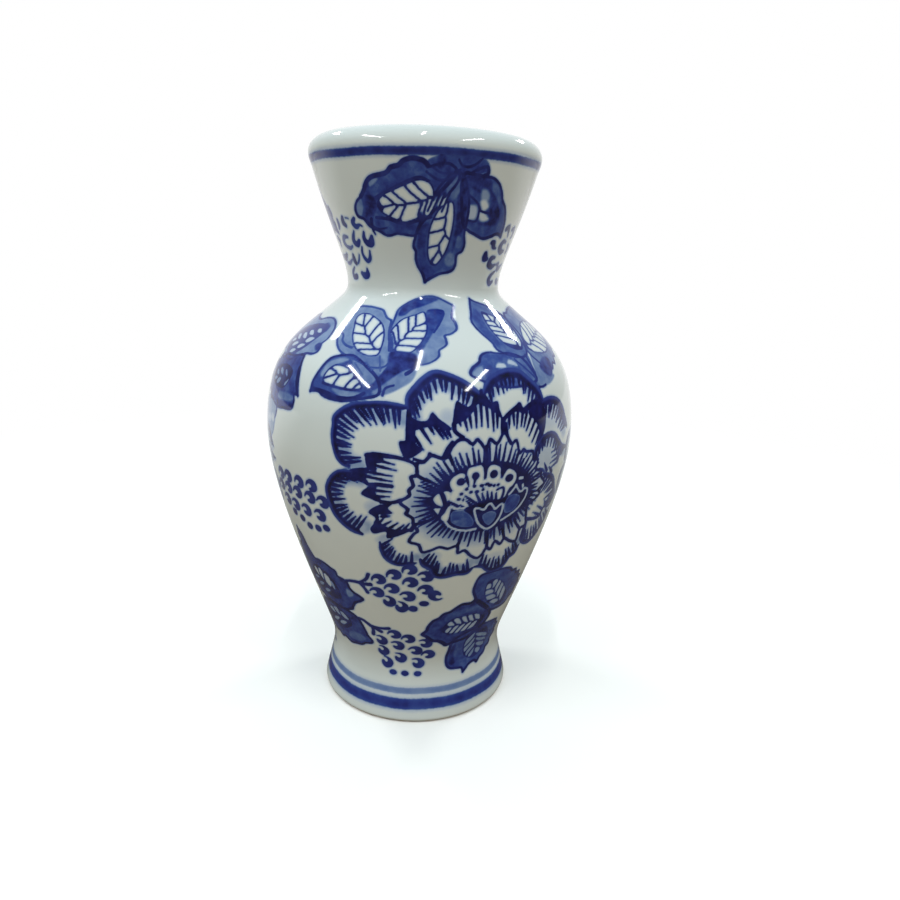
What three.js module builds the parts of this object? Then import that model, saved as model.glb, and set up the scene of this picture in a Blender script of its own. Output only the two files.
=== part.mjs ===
// Baluster vase in blue-and-white porcelain, in millimetres, +Z up.
// The origin is the centre of the resting rim, on the surface that the vase stands on.
// The vase is thrown in sections that are turned, stacked and luted together at flat joints.

import * as THREE from "three";

// Heights of the sections, from the table upwards
const FOOT_HEIGHT = 20.5;
const LOWER_BODY_HEIGHT = 83;
const SHOULDER_HEIGHT = 49.9;
const NECK_HEIGHT = 36.6;
const LIP_WIDEST_HEIGHT = 4.7;
const LIP_ROUND_HEIGHT = 5.3;

// Outside radii where one section meets the next
const FOOT_RADIUS = 35.9;
const WAIST_RADIUS = 32;
const BELLY_RADIUS = 55.1;
const THROAT_RADIUS = 26.3;
const NECK_TOP_RADIUS = 37.6;
const LIP_RADIUS = 38.9;

// How thick the clay is, and how far in from its outside the lip is highest
const WALL = 4.5;
const NECK_TOP_WALL = 6;
const LIP_THICKNESS = 7.8;
const LIP_CROWN_OFFSET = 6.3;

// The resting rim, the hollow under the vase and the floor let into it
const FOOT_EDGE_ROUND = 1.5;
const RESTING_RIM_WIDTH = 3.8;
const RECESS_DEPTH = 6.5;
const COVE_WIDTH = 5;
const LEDGE_WIDTH = 3;
const LEDGE_THICKNESS = 3;
const FLOOR_THICKNESS = 6;
const SLIP_GAP = 0.15;

// Slopes of the wall, as radius gained or lost for each millimetre of height
const BODY_START_SLOPE = 0.22;
const SHOULDER_END_SLOPE = 1.115;
const NECK_END_SLOPE = 0.3;

// How far each curve runs on straight from its ends before it bends
const FOOT_START_REACH = 6;
const FOOT_END_REACH = 7;
const BODY_START_REACH = 13.5;
const BELLY_REACH_DOWN = 25.3;
const BELLY_REACH_UP = 29.2;
const SHOULDER_END_REACH = 13.2;
const NECK_START_REACH = 7.5;
const NECK_END_REACH = 21;
const LIP_START_REACH = 2;
const LIP_END_REACH = 1.6;
const THROAT_FILLET = 5.1;
const FOOT_TOP_SLOPE = 0.09;
const FOOT_FLARE_SLOPE = 0.2;

// Straight sides to a full turn, and steps along each curve
const SIDES = 48;
const BODY_STEPS = 12;
const SHOULDER_STEPS = 11;
const FILLET_STEPS = 3;
const NECK_STEPS = 7;
const LIP_STEPS = 4;
const FOOT_STEPS = 5;
const ROUND_STEPS = 3;

// Heights of the joints
const waistHeight = FOOT_HEIGHT;
const bellyHeight = waistHeight + LOWER_BODY_HEIGHT;
const throatHeight = bellyHeight + SHOULDER_HEIGHT;
const neckTopHeight = throatHeight + NECK_HEIGHT;
const lipWidestHeight = neckTopHeight + LIP_WIDEST_HEIGHT;

// A point of a profile: its distance from the axis and its height
function at(radius, height) {
  return new THREE.Vector2(radius, height);
}

// A smooth stretch of profile between two points, leaving each along its own slope.
// A slope is the change of radius for each millimetre upwards.
function bend(start, startSlope, startReach, end, endSlope, endReach) {
  const leaving = at(start.x + startSlope * startReach, start.y + startReach);
  const arriving = at(end.x - endSlope * endReach, end.y - endReach);
  return new THREE.CubicBezierCurve(start, leaving, arriving, end);
}

// An elliptical stretch of profile, between two angles in radians from the outward direction
function round(centre, halfWidth, halfHeight, startAngle, endAngle, steps) {
  const clockwise = endAngle < startAngle;
  const arc = new THREE.EllipseCurve(
    centre.x, centre.y, halfWidth, halfHeight, startAngle, endAngle, clockwise);
  return arc.getPoints(steps);
}

// The last of the points, slid along the last stretch to a given height
function slideEnd(points, height) {
  const [before, end] = points.slice(-2);
  const share = (height - before.y) / (end.y - before.y);
  points[points.length - 1] = before.clone().lerp(end, share);
}

// The inside of the wall: each point of the outside moved inwards, square to the surface.
// Its two ends are brought level with the joints below and above.
function insideOf(curve, steps, bottom, top) {
  const points = [];
  for (let step = 0; step <= steps; step += 1) {
    const along = step / steps;
    const point = curve.getPoint(along);
    const direction = curve.getTangent(along);
    points.push(at(point.x - WALL * direction.y, point.y + WALL * direction.x));
  }
  slideEnd(points, top);
  points.reverse();
  slideEnd(points, bottom);
  return points.reverse();
}

// A section turned on the wheel from its closed profile, with the axis upright
function turned(profile) {
  const closed = [...profile, profile[0].clone()];
  const geometry = new THREE.LatheGeometry(closed, SIDES);
  geometry.rotateX(Math.PI / 2);
  return geometry;
}

// A section whose profile runs up its outside and down its inside
function ring(outside, inside) {
  return turned([...outside, ...inside.slice().reverse()]);
}

// Outside of the lower body, from the crease at the waist to the widest part
const waistPoint = at(WAIST_RADIUS, waistHeight);
const bellyPoint = at(BELLY_RADIUS, bellyHeight);
const bodyCurve = bend(
  waistPoint, BODY_START_SLOPE, BODY_START_REACH, bellyPoint, 0, BELLY_REACH_DOWN);
const bodyInside = insideOf(bodyCurve, BODY_STEPS, waistHeight, bellyHeight);

// Outside of the shoulder, which runs into a hollow fillet at the throat
const filletAngle = Math.atan(SHOULDER_END_SLOPE);
const filletCentre = at(THROAT_RADIUS + THROAT_FILLET, throatHeight);
const filletStart = at(
  filletCentre.x - THROAT_FILLET * Math.cos(filletAngle),
  filletCentre.y - THROAT_FILLET * Math.sin(filletAngle));
const filletStartInside = at(
  filletCentre.x - (THROAT_FILLET + WALL) * Math.cos(filletAngle),
  filletCentre.y - (THROAT_FILLET + WALL) * Math.sin(filletAngle));
const shoulderCurve = bend(
  bellyPoint, 0, BELLY_REACH_UP, filletStart, -SHOULDER_END_SLOPE, SHOULDER_END_REACH);
const filletRing = (radius) => round(
  filletCentre, radius, radius, Math.PI + filletAngle, Math.PI, FILLET_STEPS).slice(1);

// Neck, from the throat to the joint under the blue line, its wall thickening upwards
const throatPoint = at(THROAT_RADIUS, throatHeight);
const neckTopPoint = at(NECK_TOP_RADIUS, neckTopHeight);
const neckCurve = bend(
  throatPoint, 0, NECK_START_REACH, neckTopPoint, NECK_END_SLOPE, NECK_END_REACH);
const neckInside = bend(
  at(THROAT_RADIUS - WALL, throatHeight), 0, NECK_START_REACH,
  at(NECK_TOP_RADIUS - NECK_TOP_WALL, neckTopHeight), NECK_END_SLOPE, NECK_END_REACH,
).getPoints(NECK_STEPS);

function footRing() {
  const boreRadius = bodyInside[0].x;
  const ledgeRadius = boreRadius - LEDGE_WIDTH;
  const rimInnerRadius = FOOT_RADIUS - FOOT_EDGE_ROUND - RESTING_RIM_WIDTH;
  const edgeCentre = at(FOOT_RADIUS - FOOT_EDGE_ROUND, FOOT_EDGE_ROUND);
  const edge = round(
    edgeCentre, FOOT_EDGE_ROUND, FOOT_EDGE_ROUND, -Math.PI / 2, 0, ROUND_STEPS);
  const flare = bend(
    edge.at(-1), -FOOT_FLARE_SLOPE, FOOT_START_REACH,
    waistPoint, -FOOT_TOP_SLOPE, FOOT_END_REACH);
  const ledgeTop = RECESS_DEPTH + LEDGE_THICKNESS;
  const bore = [
    at(boreRadius, waistHeight),
    at(boreRadius, ledgeTop),
    at(ledgeRadius, ledgeTop),
    at(ledgeRadius, RECESS_DEPTH),
  ];
  const coveCentre = at(rimInnerRadius - COVE_WIDTH, 0);
  const cove = round(coveCentre, COVE_WIDTH, RECESS_DEPTH, Math.PI / 2, 0, FOOT_STEPS);
  return turned([...edge, ...flare.getPoints(FOOT_STEPS).slice(1), ...bore, ...cove]);
}

function baseDisc() {
  const flangeRadius = bodyInside[0].x - SLIP_GAP;
  const bossRadius = bodyInside[0].x - LEDGE_WIDTH - SLIP_GAP;
  const ledgeTop = RECESS_DEPTH + LEDGE_THICKNESS;
  const floorHeight = RECESS_DEPTH + FLOOR_THICKNESS;
  return turned([
    at(0, RECESS_DEPTH),
    at(bossRadius, RECESS_DEPTH),
    at(bossRadius, ledgeTop),
    at(flangeRadius, ledgeTop),
    at(flangeRadius, floorHeight),
    at(0, floorHeight),
  ]);
}

function lowerBody() {
  return ring(bodyCurve.getPoints(BODY_STEPS), bodyInside);
}

function shoulder() {
  const outside = [...shoulderCurve.getPoints(SHOULDER_STEPS), ...filletRing(THROAT_FILLET)];
  const filletInside = filletRing(THROAT_FILLET + WALL);
  const inside = insideOf(shoulderCurve, SHOULDER_STEPS, bellyHeight, filletStartInside.y);
  return ring(outside, [...inside, ...filletInside]);
}

function neck() {
  return ring(neckCurve.getPoints(NECK_STEPS), neckInside);
}

function mouthRim() {
  const widest = at(LIP_RADIUS, lipWidestHeight);
  const crownCentre = at(LIP_RADIUS - LIP_CROWN_OFFSET, lipWidestHeight);
  const narrowest = at(LIP_RADIUS - LIP_THICKNESS, lipWidestHeight);
  const outside = bend(
    neckTopPoint, NECK_END_SLOPE, LIP_START_REACH, widest, 0, LIP_END_REACH);
  const outerRound = round(
    crownCentre, LIP_CROWN_OFFSET, LIP_ROUND_HEIGHT, 0, Math.PI / 2, LIP_STEPS);
  const innerRound = round(
    crownCentre, LIP_THICKNESS - LIP_CROWN_OFFSET, LIP_ROUND_HEIGHT,
    Math.PI / 2, Math.PI, LIP_STEPS);
  const inside = bend(
    neckInside.at(-1), NECK_END_SLOPE, LIP_START_REACH, narrowest, 0, LIP_END_REACH);
  return turned([
    ...outside.getPoints(ROUND_STEPS).slice(0, -1),
    ...outerRound,
    ...innerRound.slice(1),
    ...inside.getPoints(ROUND_STEPS).slice(0, -1).reverse(),
  ]);
}

const glazedPorcelain = { color: 0xd3d8d2, roughness: 0.12, metalness: 0 };
const sections = {
  foot_ring: footRing,
  base_disc: baseDisc,
  lower_body: lowerBody,
  shoulder,
  neck,
  mouth_rim: mouthRim,
};

const vase = new THREE.Group();
for (const [name, makeGeometry] of Object.entries(sections)) {
  const material = new THREE.MeshStandardMaterial(glazedPorcelain);
  const section = new THREE.Mesh(makeGeometry(), material);
  section.name = name;
  vase.add(section);
}

export default vase;
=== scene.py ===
"""Baluster vase in blue-and-white porcelain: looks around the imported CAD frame. Blender 4.5, metres."""
import bpy
import math
import numpy as np
from mathutils import Matrix, Vector


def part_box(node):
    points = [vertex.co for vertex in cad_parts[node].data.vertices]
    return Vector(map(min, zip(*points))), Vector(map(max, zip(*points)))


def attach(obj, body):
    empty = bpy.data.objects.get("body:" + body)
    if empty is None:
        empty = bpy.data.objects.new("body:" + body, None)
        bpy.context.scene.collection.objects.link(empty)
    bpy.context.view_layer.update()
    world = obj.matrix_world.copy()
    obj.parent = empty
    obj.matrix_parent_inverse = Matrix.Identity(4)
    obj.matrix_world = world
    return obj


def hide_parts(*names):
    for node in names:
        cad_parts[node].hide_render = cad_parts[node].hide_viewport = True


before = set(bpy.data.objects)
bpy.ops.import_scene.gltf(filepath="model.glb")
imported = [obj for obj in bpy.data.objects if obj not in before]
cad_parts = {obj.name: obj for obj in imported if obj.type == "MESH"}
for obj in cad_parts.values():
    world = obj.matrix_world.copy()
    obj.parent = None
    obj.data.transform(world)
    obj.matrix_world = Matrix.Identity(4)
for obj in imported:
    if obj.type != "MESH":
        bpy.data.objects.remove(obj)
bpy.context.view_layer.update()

# One millimetre in metres. Shapes are worked out in millimetres and scaled when they become meshes.
MM = 0.001

# Heights and radii of the vase in millimetres, where the CAD sections begin and end
WAIST_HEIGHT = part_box("foot_ring")[1].z / MM
BELLY_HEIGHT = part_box("lower_body")[1].z / MM
THROAT_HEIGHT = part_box("shoulder")[1].z / MM
NECK_TOP_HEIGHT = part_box("neck")[1].z / MM
TOTAL_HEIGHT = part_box("mouth_rim")[1].z / MM
FOOT_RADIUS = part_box("foot_ring")[1].x / MM
BELLY_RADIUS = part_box("lower_body")[1].x / MM
NECK_TOP_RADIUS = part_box("neck")[1].x / MM
LIP_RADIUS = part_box("mouth_rim")[1].x / MM
FLOOR_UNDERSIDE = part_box("base_disc")[0].z / MM
FLOOR_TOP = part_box("base_disc")[1].z / MM
FLOOR_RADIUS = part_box("base_disc")[1].x / MM

# Sizes that the frame doesn't tell, in millimetres, as in the CAD model
WAIST_RADIUS = 32.0
THROAT_RADIUS = 26.3
WALL = 4.5
NECK_TOP_WALL = 6.0
LIP_WIDEST_HEIGHT = 4.7
LIP_THICKNESS = 7.8
LIP_CROWN_OFFSET = 6.3
THROAT_FILLET = 5.1
FOOT_EDGE_ROUND = 1.5
RESTING_RIM_WIDTH = 3.8
COVE_WIDTH = 5.0
LEDGE_WIDTH = 3.0
LEDGE_THICKNESS = 3.0

# How the outside's curves leave or meet their ends: the slope there, in radius per height, and how far the
# curve holds on to that slope, in millimetres
FOOT_LEAVES_EDGE = (-0.2, 6.0)
FOOT_MEETS_WAIST = (-0.09, 7.0)
BODY_LEAVES_WAIST = (0.22, 13.5)
BODY_MEETS_BELLY = (0.0, 25.3)
SHOULDER_LEAVES_BELLY = (0.0, 29.2)
SHOULDER_SLOPE = -1.115
SHOULDER_MEETS_FILLET = (SHOULDER_SLOPE, 13.2)
NECK_LEAVES_THROAT = (0.0, 7.5)
NECK_SLOPE = 0.3
NECK_MEETS_TOP = (NECK_SLOPE, 21.0)
LIP_LEAVES_NECK = (NECK_SLOPE, 2.0)
LIP_MEETS_WIDEST = (0.0, 1.6)

# How many steps the curves are worked out in, before they are divided into even rows
LONG_CURVE_STEPS = 400
SHORT_CURVE_STEPS = 200
FILLET_STEPS = 60
LIP_STEPS = 60
LIP_CROWN_STEPS = 80
LIP_LINING_STEPS = 40
FOOT_EDGE_STEPS = 24

# How far above and below the crease at the waist the glaze fills it
CREASE_REACH = 5.0

# Rows up the outside and up the inside of each section, and over the cove under the vase
BODY_ROWS = 150
BODY_INSIDE_ROWS = 12
SHOULDER_ROWS = 132
SHOULDER_INSIDE_ROWS = 14
NECK_ROWS = 90
NECK_INSIDE_ROWS = 10
LIP_ROWS = 40
LIP_INSIDE_ROWS = 24
FOOT_ROWS = 56
COVE_ROWS = 16

# Columns round each section, fine enough to carry the painting
BODY_COLUMNS = 600
SHOULDER_COLUMNS = 660
NECK_COLUMNS = 600
FOOT_COLUMNS = 384

# How much closer together the columns stand at the painted front than at the back
CROWDING = 0.25

# Where the painted bands lie, in millimetres up along the surface from the resting rim
FOOT_THICK_BAND = (5.9, 9.9)
FOOT_THIN_BAND = (11.6, 13.9)
RIM_BAND = (208.4, 210.8)

# How far from a line its distance is still worth keeping, in millimetres
FAR = 1.5

# A thinner stroke than this half-width is drawn this wide and paler instead
THINNEST = 0.32

# How far to either side of its place a motif takes in points, in millimetres
MOTIF_REACH = 62.0

# Half the width of the veins between a leaf's pale cells, and the width of the dark margin round them
HALF_VEIN = 0.3
BLADE_MARGIN = 0.5

# How far a leaf's pale cell may run out from its midrib, in millimetres and in steps
CELL_REACH = 18.0
CELL_STEPS = 60

# Over how many millimetres the edge of an unpainted shape fades
SPARED_FADE = 0.5

# Over how many millimetres the dark middle of a broad stroke fades into it
MIDDLE_FADE = 0.8

# How dark the berries and their stalks are
BERRY_DEPTH = 0.84
STALK_DEPTH = 0.88

# The middle of the flower's heart, its half-width and half-height, and the strokes that ring it
HEART = (2.5, 96.4)
HEART_HALF_WIDTH = 17.8
HEART_HALF_HEIGHT = 12.2
HEART_STROKES = 68

# The camera that fits the photograph: its place, its lens in millimetres and its angles in degrees
CAMERA_PLACE = (0.0, -0.2554, 0.1656)
CAMERA_LENS = 28.26
CAMERA_TURN = -2.525
CAMERA_TILT = 90.0 - 15.859
CAMERA_ROLL = 1.825

# The place that the lamps face, and the table top
LAMP_AIM = (0.0, 0.0, 0.13)
TABLE_RADIUS = 3.0
TABLE_CORNERS = 96


def run(start, leaves, end, meets, steps):
    """Points of a cubic Bezier curve between two ends. leaves and meets give the slope at each end and the
    distance that the curve holds on to it."""
    start_slope, start_reach = leaves
    end_slope, end_reach = meets
    along = np.linspace(0.0, 1.0, steps + 1)[:, None]
    first = np.array(start, float)
    last = np.array(end, float)
    leaving = first + start_reach * np.array([start_slope, 1.0])
    arriving = last - end_reach * np.array([end_slope, 1.0])
    back = 1.0 - along
    near = back**3 * first + 3 * back**2 * along * leaving
    far = 3 * back * along**2 * arriving + along**3 * last
    return near + far


def arc(centre, half_width, half_height, start_degrees, end_degrees, steps):
    """Points of an elliptical arc, by the cosine and sine of evenly spaced angles."""
    turn = np.radians(np.linspace(start_degrees, end_degrees, steps + 1))
    return np.stack([centre[0] + half_width * np.cos(turn), centre[1] + half_height * np.sin(turn)], -1)


def evenly(points, rows):
    """The same outline resampled so that its points lie at equal distances along it."""
    steps = np.hypot(*np.diff(points, axis=0).T)
    length = np.concatenate([[0.0], np.cumsum(steps)])
    where = np.linspace(0.0, length[-1], rows + 1)
    return np.stack([np.interp(where, length, points[:, k]) for k in (0, 1)], -1)


def offset_inwards(points):
    """Each point moved by the wall's thickness, square to the outline and towards the axis."""
    direction = np.gradient(points, axis=0)
    direction /= np.hypot(direction[:, 0], direction[:, 1])[:, None]
    return points + WALL * np.stack([-direction[:, 1], direction[:, 0]], -1)


def level_ends(points, bottom, top):
    """The points with the first and last slid along their stretches to the heights of the joints."""
    levelled = points.copy()
    for end, before, height in ((0, 1, bottom), (-1, -2, top)):
        share = (height - points[before, 1]) / (points[end, 1] - points[before, 1])
        levelled[end] = points[before] + share * (points[end] - points[before])
    return levelled


def body_curve():
    """Outside of the clay of the lower body, from the crease at the waist to the widest part."""
    waist = (WAIST_RADIUS, WAIST_HEIGHT)
    belly = (BELLY_RADIUS, BELLY_HEIGHT)
    return run(waist, BODY_LEAVES_WAIST, belly, BODY_MEETS_BELLY, LONG_CURVE_STEPS)


def foot_curve():
    """Outside of the clay of the foot: the resting rim's rounded edge, then the flare up to the crease."""
    edge_centre = (FOOT_RADIUS - FOOT_EDGE_ROUND, FOOT_EDGE_ROUND)
    edge = arc(edge_centre, FOOT_EDGE_ROUND, FOOT_EDGE_ROUND, -90.0, 0.0, FOOT_EDGE_STEPS)
    waist = (WAIST_RADIUS, WAIST_HEIGHT)
    flare = run(edge[-1], FOOT_LEAVES_EDGE, waist, FOOT_MEETS_WAIST, SHORT_CURVE_STEPS)
    return np.concatenate([edge, flare[1:]])


def glazed_crease(heights):
    """Radius of the glaze that fills the crease at the waist, at heights near it. It is a parabola from the
    foot to the body, drawn towards the crease, and its ends lie as far below the crease as above it."""
    foot = foot_curve()
    body = body_curve()
    low = WAIST_HEIGHT - CREASE_REACH
    high = WAIST_HEIGHT + CREASE_REACH
    start = np.interp(low, foot[:, 1], foot[:, 0])
    end = np.interp(high, body[:, 1], body[:, 0])
    t = (heights - low) / (high - low)
    return (1 - t) ** 2 * start + 2 * t * (1 - t) * WAIST_RADIUS + t**2 * end


def filled(curve):
    """The curve with its points near the waist moved out to the glaze."""
    near = np.abs(curve[:, 1] - WAIST_HEIGHT) < CREASE_REACH
    moved = curve.copy()
    moved[near, 0] = glazed_crease(curve[near, 1])
    return moved


def body_outline(rows):
    """Outside of the lower body with its glaze."""
    return evenly(filled(body_curve()), rows)


def throat_arc():
    """Hollow fillet round the throat."""
    lean = math.degrees(math.atan(-SHOULDER_SLOPE))
    centre = (THROAT_RADIUS + THROAT_FILLET, THROAT_HEIGHT)
    return arc(centre, THROAT_FILLET, THROAT_FILLET, 180.0 + lean, 180.0, FILLET_STEPS)


def shoulder_outline(rows):
    """Outside of the shoulder: from the widest part over to the hollow fillet at the throat."""
    fillet = throat_arc()
    belly = (BELLY_RADIUS, BELLY_HEIGHT)
    curve = run(belly, SHOULDER_LEAVES_BELLY, fillet[0], SHOULDER_MEETS_FILLET, LONG_CURVE_STEPS)
    return evenly(np.concatenate([curve, fillet[1:]]), rows)


def neck_outline(rows):
    """Outside of the neck, from the throat to the joint under the blue line."""
    throat = (THROAT_RADIUS, THROAT_HEIGHT)
    top = (NECK_TOP_RADIUS, NECK_TOP_HEIGHT)
    return evenly(run(throat, NECK_LEAVES_THROAT, top, NECK_MEETS_TOP, LONG_CURVE_STEPS), rows)


def neck_lining(rows):
    """Inside of the neck, whose wall thickens upwards."""
    throat = (THROAT_RADIUS - WALL, THROAT_HEIGHT)
    top = (NECK_TOP_RADIUS - NECK_TOP_WALL, NECK_TOP_HEIGHT)
    return evenly(run(throat, NECK_LEAVES_THROAT, top, NECK_MEETS_TOP, SHORT_CURVE_STEPS), rows)


def lip_outline(rows):
    """Outside of the mouth rim, up to the crown of the lip."""
    bottom = (NECK_TOP_RADIUS, NECK_TOP_HEIGHT)
    widest = (LIP_RADIUS, NECK_TOP_HEIGHT + LIP_WIDEST_HEIGHT)
    rise = run(bottom, LIP_LEAVES_NECK, widest, LIP_MEETS_WIDEST, LIP_STEPS)
    crown = (LIP_RADIUS - LIP_CROWN_OFFSET, widest[1])
    over = arc(crown, LIP_CROWN_OFFSET, TOTAL_HEIGHT - widest[1], 0.0, 90.0, LIP_CROWN_STEPS)
    return evenly(np.concatenate([rise, over[1:]]), rows)


def lip_lining(rows):
    """Inside of the mouth rim, up to the crown of the lip."""
    bottom = (NECK_TOP_RADIUS - NECK_TOP_WALL, NECK_TOP_HEIGHT)
    upright = (LIP_RADIUS - LIP_THICKNESS, NECK_TOP_HEIGHT + LIP_WIDEST_HEIGHT)
    rise = run(bottom, LIP_LEAVES_NECK, upright, LIP_MEETS_WIDEST, LIP_STEPS)
    crown = (LIP_RADIUS - LIP_CROWN_OFFSET, upright[1])
    half_width = LIP_THICKNESS - LIP_CROWN_OFFSET
    over = arc(crown, half_width, TOTAL_HEIGHT - upright[1], 180.0, 90.0, LIP_LINING_STEPS)
    return evenly(np.concatenate([rise, over[1:]]), rows)


def foot_outline(rows):
    """Outside of the foot with its glaze."""
    return evenly(filled(foot_curve()), rows)


def columns_round(columns):
    """The angles of the columns, closer together in front: a = u - c sin u for evenly spaced u."""
    even = np.linspace(0.0, 2.0 * math.pi, columns, endpoint=False)
    return even - CROWDING * np.sin(even)


def turned(name, stretches, columns):
    """A closed ring turned round the axis. stretches are outlines of (radius, height) that follow each
    other: each is smooth in itself and meets the next at an edge. A point at angle a stands at
    (r sin a, -r cos a, z), so that angle 0 faces the camera."""
    corners = np.concatenate([stretch[:-1] for stretch in stretches])
    rows = len(corners)
    turn = columns_round(columns)
    sine = np.sin(turn)
    cosine = np.cos(turn)
    radius = corners[:, 0][:, None]
    height = np.broadcast_to(corners[:, 1][:, None], (rows, columns))
    points = np.stack([radius * sine, -radius * cosine, height], -1) * MM
    row = np.arange(rows)
    following = (row + 1) % rows
    column = np.arange(columns)
    beside = (column + 1) % columns
    quads = np.stack([
        row[:, None] * columns + column,
        row[:, None] * columns + beside,
        following[:, None] * columns + beside,
        following[:, None] * columns + column,
    ], -1).reshape(-1, 4)
    mesh = bpy.data.meshes.new(name)
    mesh.vertices.add(rows * columns)
    mesh.vertices.foreach_set("co", points.reshape(-1).astype(np.float32))
    mesh.loops.add(quads.size)
    mesh.loops.foreach_set("vertex_index", quads.reshape(-1).astype(np.int32))
    mesh.polygons.add(len(quads))
    mesh.polygons.foreach_set("loop_start", np.arange(0, quads.size, 4, dtype=np.int32))
    mesh.polygons.foreach_set("loop_total", np.full(len(quads), 4, np.int32))
    mesh.update(calc_edges=True)
    mesh.validate()
    mesh.normals_split_custom_set(turned_normals(stretches, turn))
    piece = bpy.data.objects.new(name, mesh)
    bpy.context.scene.collection.objects.link(piece)
    return piece


def turned_normals(stretches, turn):
    """Normals of the four corners of each face, worked out from the outlines themselves. The outward normal
    of an outline that goes up the outside is (dz, -dr), turned with the point round the axis."""
    columns = len(turn)
    lower = []
    upper = []
    for stretch in stretches:
        direction = np.gradient(stretch, axis=0, edge_order=2 if len(stretch) > 2 else 1)
        outward = np.stack([direction[:, 1], -direction[:, 0]], -1)
        outward /= np.hypot(outward[:, 0], outward[:, 1])[:, None]
        lower.append(outward[:-1])
        upper.append(outward[1:])
    lower = np.concatenate(lower)[:, None, :]
    upper = np.concatenate(upper)[:, None, :]
    here = turn[None, :]
    beside = np.roll(turn, -1)[None, :]

    def spun(outward, angle):
        sideways = outward[..., 0]
        upwards = np.broadcast_to(outward[..., 1], (len(outward), columns))
        return np.stack([sideways * np.sin(angle), -sideways * np.cos(angle), upwards], -1)

    around = np.stack([spun(lower, here), spun(lower, beside), spun(upper, beside), spun(upper, here)], 2)
    return around.reshape(-1, 3)


def make_sections():
    """The sections of the vase, each standing for its CAD node, with the painting on their outsides."""
    body = body_outline(BODY_ROWS)
    body_offset = offset_inwards(evenly(body_curve(), BODY_INSIDE_ROWS))
    body_inside = level_ends(body_offset, WAIST_HEIGHT, BELLY_HEIGHT)
    shoulder = shoulder_outline(SHOULDER_ROWS)
    shoulder_offset = offset_inwards(shoulder_outline(SHOULDER_INSIDE_ROWS))
    shoulder_inside = level_ends(shoulder_offset, BELLY_HEIGHT, THROAT_HEIGHT)
    neck = neck_outline(NECK_ROWS)
    neck_inside = neck_lining(NECK_INSIDE_ROWS)
    lip = lip_outline(LIP_ROWS)
    lip_inside = lip_lining(LIP_INSIDE_ROWS)
    foot = foot_outline(FOOT_ROWS)
    bore = body_inside[0, 0]
    ledge = bore - LEDGE_WIDTH
    ledge_top = FLOOR_UNDERSIDE + LEDGE_THICKNESS
    rim_inner = FOOT_RADIUS - FOOT_EDGE_ROUND - RESTING_RIM_WIDTH
    cove = arc((rim_inner - COVE_WIDTH, 0.0), COVE_WIDTH, FLOOR_UNDERSIDE, 90.0, 0.0, COVE_ROWS)

    def straight(*points):
        """The straight stretches that join the points."""
        return [np.array([a, b], float) for a, b in zip(points[:-1], points[1:])]

    def walled(outside, inside):
        """The stretches round a wall: up its outside, over its upper joint, down its inside and back."""
        over = straight(outside[-1], inside[-1])
        under = straight(inside[0], outside[0])
        return [outside, *over, inside[::-1], *under]

    hollow = straight(foot[-1], (bore, WAIST_HEIGHT), (bore, ledge_top), (ledge, ledge_top),
                      (ledge, FLOOR_UNDERSIDE), cove[0])
    lip_loop = np.concatenate([lip, lip_inside[::-1][1:]])
    plans = {
        "foot_ring": (foot, FOOT_COLUMNS, [foot, *hollow, cove, *straight(cove[-1], foot[0])]),
        "lower_body": (body, BODY_COLUMNS, walled(body, body_inside)),
        "shoulder": (shoulder, SHOULDER_COLUMNS, walled(shoulder, shoulder_inside)),
        "neck": (neck, NECK_COLUMNS, walled(neck, neck_inside)),
        "mouth_rim": (lip, FOOT_COLUMNS, [lip_loop, *straight(lip_inside[0], lip[0])]),
    }
    made = {"base_disc": make_disc()}
    start = 0.0
    for node, (outside, columns, stretches) in plans.items():
        made[node] = turned("fine_" + node, stretches, columns)
        along = start + travelled(outside)
        decorate(made[node], outside, along, columns)
        start = along[-1]
    return made


def make_disc():
    """The stepped floor disc, built of rings about its two closed poles and turned from its profile."""
    bore = FLOOR_RADIUS
    boss = bore - LEDGE_WIDTH
    ledge_top = FLOOR_UNDERSIDE + LEDGE_THICKNESS
    corners = [(boss, FLOOR_UNDERSIDE), (boss, ledge_top), (bore, ledge_top), (bore, FLOOR_TOP)]
    turn = columns_round(FOOT_COLUMNS)
    rings = [np.stack([r * np.sin(turn), -r * np.cos(turn), np.full_like(turn, z)], -1) for r, z in corners]
    poles = np.array([(0.0, 0.0, FLOOR_UNDERSIDE), (0.0, 0.0, FLOOR_TOP)])
    points = np.concatenate([*rings, poles]) * MM
    here = np.arange(FOOT_COLUMNS)
    beside = (here + 1) % FOOT_COLUMNS
    count = len(corners) * FOOT_COLUMNS
    faces = np.stack([np.full_like(here, count), beside, here], -1).tolist()
    for step in range(len(corners) - 1):
        low = step * FOOT_COLUMNS
        high = low + FOOT_COLUMNS
        faces += np.stack([low + here, low + beside, high + beside, high + here], -1).tolist()
    last = count - FOOT_COLUMNS
    faces += np.stack([last + here, last + beside, np.full_like(here, count + 1)], -1).tolist()
    mesh = bpy.data.meshes.new("fine_base_disc")
    mesh.from_pydata(points.tolist(), [], faces)
    piece = bpy.data.objects.new("fine_base_disc", mesh)
    bpy.context.scene.collection.objects.link(piece)
    return piece


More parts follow.
